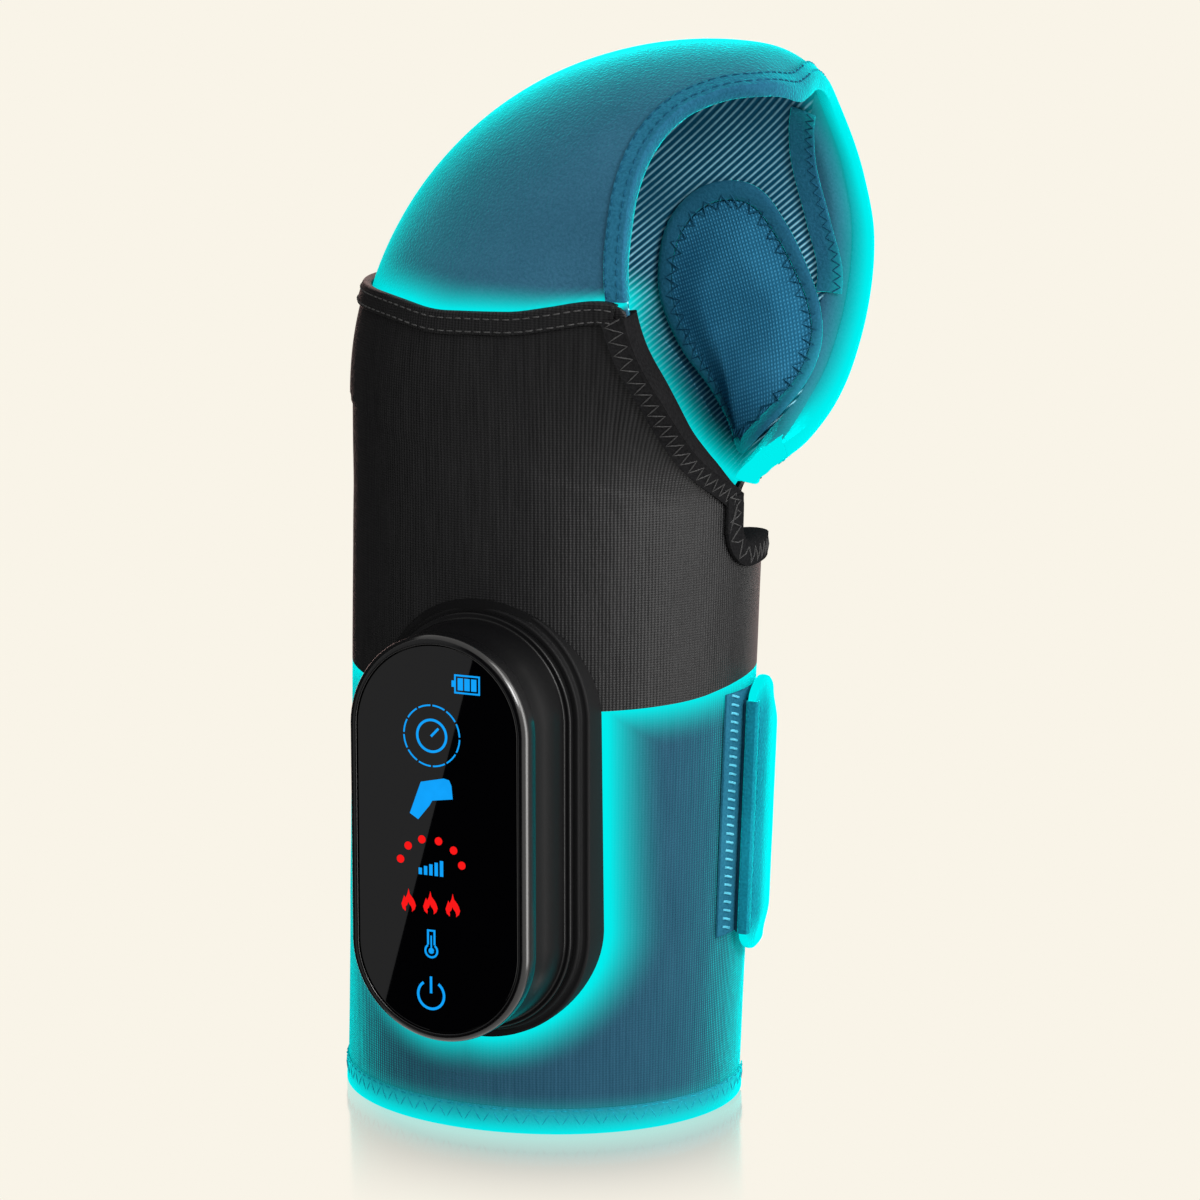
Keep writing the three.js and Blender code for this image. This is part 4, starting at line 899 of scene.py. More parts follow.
class KneeStageSettings(bpy.types.PropertyGroup):
    floor_colour: colour_setting("Floor", "Colour of the floor and the surroundings", "#F9F4E8")
    ambient: number_setting("Ambient", "Strength of the even light from all round", 1.35, 0.0, 3.0)
    lens_length: number_setting("Focal length", "Camera's focal length", 126.0, 20.0, 300.0, unit="CAMERA")
    distance: number_setting("Camera distance", "From the camera to the aimed point", 1.4, 0.3, 5.0, unit="LENGTH")
    azimuth: number_setting(
        "Camera azimuth", "Turn of the camera about the part", math.radians(25.0), -math.pi, math.pi,
        subtype="ANGLE",
    )
    elevation: number_setting(
        "Camera elevation", "Height of the camera over the level", math.radians(11.0), -math.pi, math.pi,
        subtype="ANGLE",
    )


def cloth():
    return bpy.context.scene.knee_cloth


def make_cloths():
    """The cloth materials, made once."""
    if "hood_crepe" in bpy.data.materials:
        return
    s = cloth()
    glow, power = tuple(s.glow_colour), s.glow_strength
    blue = tuple(s.blue_dark), tuple(s.blue_light)
    knit("sleeve_knit", tuple(s.black_dark), tuple(s.black_light), gloss=0.14)
    knit("band_knit", *(tuple(0.72 * c for c in tone) for tone in blue), glow, power)
    crepe("hood_crepe", *blue, glow, power, True)
    ribbed_mesh("rib_mesh", hex_colour("#0D4058"), hex_colour("#8CC8DC"), glow, power)
    waffle("pad_waffle", hex_colour("#1F5875"), hex_colour("#377FA1"), glow, power)
    for name, dark, light, *lit in (
        ("dark_tape", "#0D0D0E", "#1D1D1E"),
        ("blue_tape", "#154056", "#255C77", glow, power, True),
        ("dark_thread", "#2A2A2B", "#444444"),
        ("blue_thread", "#0A2A3C", "#1F5874"),
        # lit_thread's teal colour is painted glow, for the stitches in the lit zones
        ("lit_thread", "#0B6C80", "#1E93A6"),
        ("pale_thread", "#3A8FA8", "#5FB3C8"),
        ("flap_crepe", "#0B5568", "#15798C", glow, power, True),
        ("loop_nap", "#174C62", "#28687F", glow, power),
        ("hook_nap", "#0F2E40", "#1B4558", glow, power),
    ):
        crepe(name, hex_colour(dark), hex_colour(light), *lit)


class KNEE_OT_sleeve(bpy.types.Operator):
    """Calf sleeve: black knit above, lit blue band below, with its lining"""

    bl_idname = "knee.sleeve"
    bl_label = "Calf sleeve"
    bl_options = {"REGISTER", "UNDO"}

    def execute(self, context):
        make_cloths()
        turns = steps(LATERAL_END, NOTCH_SIDE - 0.004, 18) + steps(NOTCH_SIDE + 0.006, MEDIAL_END, 240)
        # The share of the rows that lie on the band, so that a row runs along its border
        band = 0.56

        def place(turn, mark):
            height, over, side = mark
            border = band_top(turn)
            if height < band:
                rise = mix(0.0, border, height / band)
            else:
                rise = mix(border, sleeve_top(turn), (height - band) / (1 - band))
            if over:
                rise += over * SHELL * unit_rise(turn, rise)
            lift = mix(SLEEVE_INNER, SLEEVE_OUTER, side) + crease(turn, rise) * (0.4 + 0.6 * side)
            return wing_turn(turn, rise), rise, lift

        loop = layer_loop(steps(0.0, band, 96) + steps(band, 1.0, 64)[1:], steps(0.0, 1.0, 40))
        mesh = skin(turns, loop, place, band_glow, lambda turn, rise: 1 if rise < band_top(turn) else 0)
        finish(mesh, "sleeve_cloth", "sleeve_knit band_knit", "calf_shell")

        def lining_top(turn):
            return NOTCH_LEVEL if turn < NOTCH_SIDE else seam(max(turn, SEAM[0][0]))

        rows = steps(0.0, 0.995, 60)
        mesh = layer(turns[::3] + [MEDIAL_END], layer_loop(rows, rows), lambda turn: 0.0, lining_top,
                     LINING_INNER, LINING_OUTER, glow=inside_glow())
        finish(mesh, "sleeve_lining", "rib_mesh", "calf_lining")
        return {"FINISHED"}


class KNEE_OT_hood(bpy.types.Operator):
    """Knee hood: crepe-faced outer shell and ribbed inner mesh"""

    bl_idname = "knee.hood"
    bl_label = "Knee hood"
    bl_options = {"REGISTER", "UNDO"}

    def execute(self, context):
        make_cloths()
        turns = steps(RIM[0][0], MEDIAL_END, 220)
        loop = layer_loop(steps(0.0, 1.0, 110), steps(0.0, 1.0, 30))
        mesh = layer(turns, loop, hood_low, rim, -SHELL, 0.0, uneven=0.8, glow=hood_glow)
        finish(mesh, "hood_cloth", "hood_crepe", "hood_shell")

        def relief(turn, rise, side):
            """The lining is drawn to the shell at the rim, and ribbed on its inner face."""
            drawn = rim_draw(turn, rise)
            if side:
                return drawn
            wave = math.sin(rib_phase(leg_point(turn, rise, LINING_INNER) + SHIFT))
            return drawn + RIB_HEIGHT * smooth((turn - RIB_START) / 0.05) * wave

        turns = steps(RIM[0][0], RIB_START, 60) + steps(RIB_START, MEDIAL_END, 200)[1:]
        loop = layer_loop(steps(0.0, 1.0, 24), steps(0.0, 1.0, 190))
        mesh = layer(turns, loop, hood_low, rim, LINING_INNER + 0.3, LINING_OUTER, relief=relief,
                     glow=inside_glow())
        finish(mesh, "hood_mesh_lining", "rib_mesh", "hood_lining", sharp=75.0)
        return {"FINISHED"}


def twin_rows(path, near, far, lift):
    """Two lines of straight stitches along a path."""
    return running(path, near, lift, STITCH, STITCH_GAP) + running(path, far, lift, STITCH, STITCH_GAP)


class KNEE_OT_bindings(bpy.types.Operator):
    """Hems and bindings of the sleeve and the hood, with their stitches"""

    bl_idname = "knee.bindings"
    bl_label = "Hems and bindings"
    bl_options = {"REGISTER", "UNDO"}

    def execute(self, context):
        make_cloths()
        hem = [(wing_turn(turn, 0.0), 0.0) for turn in steps(LATERAL_END, MEDIAL_END, 160)]
        # Painted glow along the hem
        tape(hem, fold_profile(8.0, INSIDE_TAPE, OUTSIDE_TAPE - 0.3, 0.45), "bottom_hem", "blue_tape",
             "bottom_hem_binding", lambda turn, rise: fade(max(rise * BEND_HEIGHT + 0.5, 0.0)))
        low = OUTSIDE_TAPE + 0.15
        pale = zigzag(hem, 2.2, 7.2, low, 6.4) + running(hem, 7.4, low, 2.6, 1.2)

        top = [(turn, sleeve_top(turn)) for turn in
               steps(-0.544, -0.5, 10) + steps(-0.5, 0.5, 110)[1:-1] + steps(0.5, 0.544, 10)]
        outer = OUTSIDE_TAPE + TAPE
        folded = [(-6.0, OUTSIDE_TAPE), (-3.0, OUTSIDE_TAPE), (0.3, OUTSIDE_TAPE), (0.3, 1.7), (0.3, 0.7),
                  (0.6, 0.45), (1.0, 0.8), (1.1, 1.8), (0.95, 2.8), (0.5, 3.35), (0.0, outer), (-3.0, outer),
                  (-5.9, outer), (-6.15, 3.1)]
        tape(top, folded, "sleeve_top_hem", "sleeve_knit", "calf_top_hem")
        black = twin_rows(top, -5.2, -1.3, outer + 0.05)

        side = [(turn, rim(turn)) for turn in steps(-0.945, -CORNER - 0.01, 60)]
        tape(side, fold_profile(7.0, INSIDE_TAPE, OUTSIDE_TAPE, 1.0, side=-1.0), "side_edge_tape", "dark_tape",
             "side_edge_binding")
        black += zigzag(side, SEWN_NEAR, SEWN_FAR, outer + 0.3, SEWN_PITCH)

        foot, start = NOTCH_LEVEL + NOTCH_ROUND, NOTCH_SIDE - NOTCH_ROUND_TURN
        notch = [(turn, NOTCH_LEVEL) for turn in steps(LATERAL_END, start, 16)]
        notch += [(NOTCH_SIDE - NOTCH_ROUND_TURN * (1 - math.sin(a)), foot - NOTCH_ROUND * math.cos(a))
                  for a in steps(0.2, 1.5, 7)]
        notch += [(mix(NOTCH_SIDE, RIM[0][0], share), mix(foot, RIM[0][1], share)) for share in steps(0.1, 1.0, 12)]
        tape(notch, fold_profile(7.0, INSIDE_TAPE, OUTSIDE_TAPE, 1.4, side=-1.0), "notch_tape", "dark_tape",
             "notch_binding")
        black += zigzag(notch, SEWN_NEAR, SEWN_FAR, outer + 0.7, SEWN_PITCH)

        # The rim tape's painted glow, past the knee cap
        def far(turn, rise):
            return smooth((turn - 0.05) / 0.2) * fade(max((rim(turn) - rise) / unit_rise(turn, rise), 0.0))

        edge = [(wing_turn(turn, rim(turn)), rim(turn)) for turn in steps(-CORNER + 0.01, MEDIAL_END, 170)]
        tape(edge, fold_profile(5.5, INSIDE_TAPE + RIM_DRAW, 0.3, 0.6, side=-1.0), "hood_rim_tape", "blue_tape",
             "hood_rim_binding", far)
        # The rim's thread is dark over the knee cap, and lit past it
        lift = 0.3 + 0.6 + 0.05
        blue = twin_rows([point for point in edge if point[0] < 0.04], -1.3, -4.9, lift)
        pale += twin_rows([point for point in edge if point[0] >= 0.04], -1.3, -4.9, lift)

        # The wing's side edge, closed by a tape folded over its layers; the tape is painted to glow all over
        wing = [(wing_turn(MEDIAL_END, rise), rise) for rise in steps(1.86, 1.06, 90)]
        tape(wing, fold_profile(1.2, LINING_INNER, 0.1, 0.35, side=-1.0), "wing_edge_tape", "blue_tape", "",
             lambda turn, rise: 1.0)

        threads("black_stitches", black, 1.0, "dark_thread")
        threads("blue_stitches", blue, 1.0, "blue_thread")
        threads("hem_stitches", pale, 0.7, "lit_thread")
        return {"FINISHED"}


class KNEE_OT_pads(bpy.types.Operator):
    """Teardrop pad with its binding, and the edge band, inside the medial wall"""

    bl_idname = "knee.pads"
    bl_label = "Pads"
    bl_options = {"REGISTER", "UNDO"}

    def execute(self, context):
        make_cloths()
        glow = inside_glow()
        outline = smooth_outline(PAD, 160)
        # The pad's cloth ends at this share of the way from its centre to its outline, and its tape starts
        edge = 0.84
        top = INSIDE_TAPE - 1.2

        def inward(point, share):
            return mix(PAD_CENTRE[0], point[0], share), mix(PAD_CENTRE[1], point[1], share)

        def island(marks):
            return skin(outline, marks, lambda point, mark: (*inward(point, mark[0]), mark[1]), glow=glow)

        def crown(share):
            return top - 2.8 * (1 - smooth((share - 0.4) / (edge - 0.4))) ** 0.8

        marks = [(share, crown(share)) for share in steps(0.0, edge, 34)]
        marks += [(edge + 0.004, INSIDE_TAPE - 0.6), (edge, INSIDE_TAPE)]
        marks += [(share, INSIDE_TAPE) for share in steps(edge, 0.0, 6)[1:]]
        piece = finish(island(marks), "medial_pad_cloth", "pad_waffle", "medial_pad")

        ring = [(0.852, INSIDE_TAPE), (0.85, top + 0.3), (0.862, top - 0.25), (0.9, top - 0.4),
                (0.95, top - 0.3), (0.985, top), (1.0, INSIDE_TAPE - 0.6), (0.995, INSIDE_TAPE),
                (0.92, INSIDE_TAPE), (0.852, INSIDE_TAPE)]
        finish(island(ring), "medial_pad_tape", "blue_tape", "medial_pad_binding")
        lines = zigzag([inward(point, 0.86) for point in outline], -1.6, 3.4, top - 0.55, 6.2, sink=-0.15)

        band = [(turn, curve_at(BAND, turn)) for turn in steps(0.26, 0.6, 70)]
        flat = [(0.0, INSIDE_TAPE), (-4.2, INSIDE_TAPE), (-8.5, INSIDE_TAPE), (-8.6, INSIDE_TAPE - 0.4),
                (-8.3, INSIDE_TAPE - 0.85), (-4.2, INSIDE_TAPE - 1.0), (-0.3, INSIDE_TAPE - 0.85),
                (0.1, INSIDE_TAPE - 0.4)]
        tape(band, flat, "medial_band_tape", "blue_tape", "medial_edge_band", glow)
        lines += zigzag(band, -0.4, -3.0, INSIDE_TAPE - 1.1, SEWN_PITCH, sink=-0.15)

        def facing(turn, mark):
            share, sunk = mark
            rise = mix(curve_at(FACING_LINE, turn), rim(turn) - 0.006, share)
            return wing_turn(turn, rise), rise, LINING_INNER - 0.05 + rim_draw(turn, rise) - sunk

        marks = [(share, 0.0) for share in steps(0.0, 1.0, 16)] + [(share, 0.3) for share in steps(1.0, 0.0, 16)]
        mesh = skin(steps(0.22, MEDIAL_END, 110), marks + marks[:1], facing, glow)
        finish(mesh, "rim_facing_cloth", "hood_crepe")
        threads("pad_stitches", lines, 1.0, "blue_thread")
        return {"FINISHED"}


# The gel pack's turns and rises, and the lift of its outer face
GEL_FROM, GEL_TO = -0.68, -0.42
GEL_LOW, GEL_HIGH = 1.02, 1.56
GEL_OUTER = INSIDE_TAPE - 1.4


def gel_shares(turn, rise):
    """The shares of the gel pack's width and height that a place lies at."""
    return (turn - GEL_FROM) / (GEL_TO - GEL_FROM), (rise - GEL_LOW) / (GEL_HIGH - GEL_LOW)


def gel_thickness(edge):
    return mix(2.4, 9.0, smooth(edge / 0.3))


def swept(turn, rise, lift):
    """A place swept about the knee's pivot line, in millimetres."""
    start = leg_point(turn, 1.0, lift)
    bend = (rise - 1) * math.pi / 2
    reach = PIVOT_X - start.x
    return Vector((PIVOT_X - math.cos(bend) * reach, start.y, BEND_HEIGHT + math.sin(bend) * reach))


def sewn(turn, rise, lift):
    """A place on the lining, as far from the pivot line as the same turn is where the bend starts."""
    reach = BEND_HALF_DEPTH * (1 + math.cos(math.pi * turn))
    along = min(max(reach / section(rise)[3] - 1, -1.0), 1.0)
    return leg_point(-math.acos(along) / math.pi, rise, lift)


def swept_sheet(turns, rises, inner, outer, where):
    """A closed sheet between two faces, swept about the pivot line."""
    marks = [(rise, outer) for rise in rises] + [(rise, inner) for rise in reversed(rises)]
    mesh, entries = grid(turns, marks + marks[:1])
    for vert, (turn, (rise, face)) in entries.items():
        vert.co = to_frame(where(turn, rise, face(turn, rise)))
    return close(mesh)


class KNEE_OT_gel_pack(bpy.types.Operator):
    """Gel pack and the pocket that holds it inside the controller side of the hood"""

    bl_idname = "knee.gel_pack"
    bl_label = "Gel pack and pocket"
    bl_options = {"REGISTER", "UNDO"}

    def execute(self, context):
        make_cloths()

        def inner(turn, rise):
            across, up = gel_shares(turn, rise)
            edge = min(across, 1 - across, up, 1 - up)
            ripple = 0.5 * noise.noise(Vector((turn * 40, rise * 18, 0.7))) * smooth(edge / 0.2)
            weld = smooth((edge - 0.05) / 0.1)
            return GEL_OUTER - mix(1.3, gel_thickness(edge) - 0.5 + ripple, weld)

        mesh = swept_sheet(steps(GEL_FROM, GEL_TO, 40), steps(GEL_LOW, GEL_HIGH, 50), inner,
                           lambda turn, rise: GEL_OUTER, swept)
        # Clear urethane film over blue gel: glossy, with soft swirls of lighter and darker gel below
        _, tree, shader = material("gel_film_look", hex_colour("#0A5FC0"), 0.08, Coat_Weight=0.8,
                                   Coat_Roughness=0.04, Transmission_Weight=0.35)
        where = coordinates(tree)
        swirl = ramp(tree, noise_at(tree, where, 55.0, 3.0), (0.3, hex_colour("#063A86")),
                     (0.7, hex_colour("#1C8CE6")))
        tree.links.new(swirl, shader.inputs["Base Color"])
        bumped(tree, shader, noise_at(tree, where, 140.0, 2.0), 0.3, 0.4)
        piece = finish(mesh, "gel_bag", "gel_film_look", "gel_pack", body="gel")

        # The pocket's cloth lies on the lining 4 mm beyond the pack and bulges over it
        seam_turn = 4 * unit_turn(GEL_TO, 1.0)
        seam_rise = 4 * unit_rise(GEL_TO, 1.0)
        turns = [GEL_FROM - seam_turn] + steps(GEL_FROM, GEL_TO, 40) + [GEL_TO + seam_turn]
        rises = [GEL_LOW - seam_rise] + steps(GEL_LOW, mix(GEL_LOW, GEL_HIGH, 0.97), 50)

        def bulge(turn, rise):
            across, up = gel_shares(turn, rise)
            share = min(across, 1 - across, up)
            return 0.0 if share < -1e-4 else 1.4 + gel_thickness(share) + 0.6

        def place(turn, rise, lift):
            return (sewn if lift > INSIDE_TAPE - 1.3 else swept)(turn, rise, lift)

        mesh = swept_sheet(turns, rises, lambda turn, rise: INSIDE_TAPE - bulge(turn, rise) - 1.0,
                           lambda turn, rise: INSIDE_TAPE - bulge(turn, rise), place)
        finish(mesh, "gel_pouch", "pad_waffle", "gel_pocket")
        return {"FINISHED"}


class KNEE_OT_flap(bpy.types.Operator):
    """Closing flap with its edge tape, hook strip and loop panel"""

    bl_idname = "knee.flap"
    bl_label = "Closing flap"
    bl_options = {"REGISTER", "UNDO"}

    def execute(self, context):
        make_cloths()
        tip = FLAP_TIP - 1.1 * unit_turn(FLAP_TIP, FLAP_LOW)
        flap_inner = OUTSIDE_TAPE + LOOP_THICK + GAP + HOOK_THICK + GAP

        def ends(turn):
            """The flap's lower and upper edge, drawn in to round corners at its tip."""
            near = min((tip - turn) / unit_turn(tip, FLAP_LOW), CORNER_ROUND)
            corner = (CORNER_ROUND - math.sqrt(CORNER_ROUND**2 - (CORNER_ROUND - near) ** 2)) / BEND_HEIGHT
            return FLAP_LOW + corner, mix(FLAP_ROOT_HIGH, FLAP_HIGH, smooth((turn - 0.84) / 0.14)) - corner

        # Painted glow along the flap's edges and along a line FOLD_FROM_TIP in from its tip
        def glow(turn, rise):
            bottom, top = ends(turn)
            fold = abs(FOLD_FROM_TIP - (tip - turn) / unit_turn(tip, FLAP_LOW))
            return max(fade(max(min(rise - bottom, top - rise), 0.0) * BEND_HEIGHT), fade(fold, FOLD_GLOW))

        def place(turn, mark):
            height, over, side = mark
            share = (turn - FLAP_ROOT) / (tip - FLAP_ROOT)
            free = smooth(share / 0.5)
            inner = mix(OUTSIDE_TAPE, flap_inner, free)
            plump = smooth(min(height, 1 - height) / 0.14) * smooth((1 - share) / 0.12) * free
            outer = inner + mix(mix(1.8, 2.6, free), 4.2, plump)
            rise = mix(*ends(turn), height) + over * 1.2 * unit_rise(turn, FLAP_LOW)
            lift = mix(inner, outer, side) + 0.5 * crease(turn * 2, rise * 2) * (side if share > 0.1 else 0)
            return turn, rise, lift

        loop = layer_loop(steps(0.0, 1.0, 60), steps(0.0, 1.0, 20))
        mesh = skin(steps(FLAP_ROOT, tip, 90), loop, place, glow)
        finish(mesh, "flap_cloth", "flap_crepe", "closing_flap", body="flap")

        edge = [(tip, rise) for rise in steps(FLAP_LOW + 6.5 / BEND_HEIGHT, FLAP_HIGH - 6.5 / BEND_HEIGHT, 40)]
        outer = flap_inner + 3.0 + 0.3
        over = [(1.4, outer), (0.8, outer), (-0.3, outer - 0.1), (-0.3, flap_inner + 2), (-0.3, flap_inner),
                (-0.7, flap_inner - 0.05), (-1.1, flap_inner + 0.4), (-1.15, flap_inner + 1.6),
                (-0.95, outer + 0.1), (-0.3, outer + 0.35), (0.8, outer + 0.4), (1.3, outer + 0.35),
                (1.5, outer + 0.1)]
        tape(edge, over, "flap_tip_tape", "flap_crepe", "flap_edge_binding", body="flap")
        threads("flap_stitches", running(edge, 2.2, outer + 0.2, 2.0, 1.4), 0.6, "lit_thread",
                body="flap")

        low, high = FLAP_LOW + FLAP_MARGIN, FLAP_HIGH - FLAP_MARGIN / 2
        mesh = layer(steps(0.9, 1.066, 36), layer_loop(steps(0.0, 1.0, 30), steps(0.0, 1.0, 8)),
                     lambda turn: low, lambda turn: high, OUTSIDE_TAPE, OUTSIDE_TAPE + LOOP_THICK, wing=False)
        finish(mesh, "loop_pile_panel", "loop_nap", "loop_panel")
        ladder = [
            [(turn, rise + 0.006 * share, OUTSIDE_TAPE + LOOP_THICK + height) for turn, share, height in
             ((1.03, 0.0, -0.2), (1.036, 0.2, 0.35), (1.046, 0.8, 0.35), (1.052, 1.0, -0.2))]
            for rise in steps(low + 0.008, high - 0.008, 27)
        ]
        threads("ladder_stitches", ladder, 1.8, "pale_thread")
        hook = OUTSIDE_TAPE + LOOP_THICK + GAP
        rows = steps(0.0, 1.0, 30)
        mesh = layer(steps(0.92, 1.014, 20), layer_loop(rows, rows), lambda turn: low,
                     lambda turn: FLAP_HIGH - FLAP_MARGIN, hook, hook + HOOK_THICK, wing=False)
        finish(mesh, "hook_tape_strip", "hook_nap", "flap_hook_strip", body="flap")
        return {"FINISHED"}


class KNEE_OT_controller(bpy.types.Operator):
    """Controller: rubber base, housing with its lip, bezel and touch lens"""

    bl_idname = "knee.controller"
    bl_label = "Controller"
    bl_options = {"REGISTER", "UNDO"}

    def execute(self, context):
        moulded("base_rubber_look", "#0A0A0B", 0.6, 0.35, 0.25, Specular_IOR_Level=0.08)
        moulded("housing_satin", "#080809", 0.3, 0.3, 0.12, Specular_IOR_Level=0.14)
        moulded("bezel_gloss", "#050506", 0.18, 0.4, 0.04, Specular_IOR_Level=0.5)
        moulded("lens_glass", "#020203", 0.012, 5.0, 0.0, 0.01, IOR=1.52)

        base = [(radius, BASE_REAR) for radius in (0.0, 12.0, 24.0, 33.0, BASE_RADIUS)]
        base += arc(BASE_RADIUS - 1.0, BASE_FRONT - 1.0, 1.0, 0, 90, 6)
        base += [(34.9, BASE_FRONT), (STEP_RADIUS, BASE_FRONT + 0.3)]
        base += arc(STEP_RADIUS - 0.8, BASE_TOP - 0.8, 0.8, 0, 90, 5) + [(33.0, BASE_TOP), (0.0, BASE_TOP)]
        mesh = pill(base)
        # The base's rear face lies on the sleeve
        for vert in mesh.verts:
            place = vert.co / MM - SHIFT
            if place.y > -(BASE_REAR + 1.0):
                _, x, _, depth, width = section(place.z / BEND_HEIGHT)
                share = (place.x - x) / (depth + 2.6)
                place.y = -(width + 2.6) * math.sqrt(max(1 - share * share, 0.05))
                vert.co = to_frame(place)
        finish(mesh, "base_pad", "base_rubber_look", "controller_base", sharp=50.0)

        housing = [(0.0, HOUSING_REAR), (32.6, HOUSING_REAR)]
        housing += arc(LIP_RADIUS, HOUSING_REAR + 0.7, 0.7, -90, 0, 4)
        housing += arc(LIP_RADIUS, LIP_FRONT - 0.7, 0.7, 0, 90, 5)
        housing += arc(LIP_RADIUS - 0.5, LIP_FRONT + 0.75, 0.7, -90, -180, 5)
        housing += [(31.2, LIP_FRONT + 3), (31.1, LIP_FRONT + 6), (30.8, LIP_FRONT + 9), (30.25, LIP_FRONT + 12),
                    (29.5, LIP_FRONT + 15)]
        housing += arc(29.4 - 0.5, HOUSING_FRONT - 0.5, 0.5, 0, 90, 3)
        housing += [(LENS_RADIUS, HOUSING_FRONT), (29.2, HOUSING_REAR + 3.2), (28.2, HOUSING_REAR + 2.0),
                    (0.0, HOUSING_REAR + 2.0)]
        finish(pill(housing), "housing_barrel", "housing_satin", "rear_housing", sharp=50.0)

        rounding = context.scene.knee_controller.bezel_round / MM
        bezel = [(LENS_RADIUS, BEZEL_REAR), (29.8, BEZEL_REAR)]
        bezel += arc(BEZEL_RADIUS - 0.8, BEZEL_REAR + 0.8, 0.8, -90, 0, 5)
        bezel += arc(BEZEL_RADIUS - rounding, BEZEL_FRONT - rounding, rounding, 0, 80, 10)
        bezel += arc(LENS_RADIUS + 0.5, BEZEL_FRONT - 0.25, 0.2, 90, 180, 3)
        bezel += [(LENS_RADIUS + 0.3, LENS_REAR - 0.3), (LENS_RADIUS - 2.2, LENS_REAR - 0.3),
                  (LENS_RADIUS - 2.2, LENS_REAR - 1.4), (LENS_RADIUS, LENS_REAR - 2.4), (LENS_RADIUS, BEZEL_REAR)]
        finish(pill(bezel), "bezel_ring", "bezel_gloss", "front_bezel", sharp=50.0)

        lens = [(0.0, LENS_REAR), (LENS_RADIUS, LENS_REAR)]
        lens += arc(LENS_RADIUS - 0.35, LENS_FRONT - 0.35, 0.35, 0, 90, 4)
        lens += [(LENS_RADIUS - 6, LENS_FRONT), (0.0, LENS_FRONT)]
        finish(pill(lens), "lens_plate", "lens_glass", "touch_lens", sharp=8.0)
        return {"FINISHED"}


def lens_shapes(name, outlines, depth):
    """Flat outlines on the lens, in millimetres from its middle, each made a thin plate that shines."""
    mesh = bmesh.new()
    front = -LENS_FRONT - depth / MM
    for outline in outlines:
        corners = (Vector((CONTROLLER_X + ICON_X + x, front, CONTROLLER_Z + z)) for x, z in outline)
        face = mesh.faces.new([mesh.verts.new(to_frame(corner)) for corner in corners])
        face.normal_update()
        made = bmesh.ops.extrude_face_region(mesh, geom=[face])
        back = [g for g in made["geom"] if isinstance(g, bmesh.types.BMVert)]
        bmesh.ops.translate(mesh, verts=back, vec=(0, depth * 0.98, 0))
    bmesh.ops.recalc_face_normals(mesh, faces=mesh.faces[:])
    return finish(mesh, name, name + "_light")


def ring(cx, cz, inner, outer, start, end, count):
    """The outline of a stretch of a ring."""
    return arc(cx, cz, inner, start, end, count) + arc(cx, cz, outer, start, end, count)[::-1]


def bar(x0, z0, x1, z1):
    return [(x0, z0), (x1, z0), (x1, z1), (x0, z1)]


def flame(cx, cz, size):
    """A plain flame outline with a hollow foot."""
    right = [(0.0, 0.55), (0.06, 0.3), (0.22, 0.12), (0.3, -0.02), (0.36, -0.2), (0.3, -0.38), (0.16, -0.5)]
    inner = [(0.17, -0.38), (0.13, -0.26), (0.04, -0.16), (-0.02, -0.05), (-0.07, -0.2), (-0.16, -0.3),
             (-0.14, -0.4)]
    left = [(-0.16, -0.5), (-0.3, -0.38), (-0.36, -0.18), (-0.28, 0.05), (-0.22, 0.22), (-0.16, 0.1),
            (-0.06, 0.3)]
    return [(cx + x * size, cz + z * size) for x, z in right + inner + left]


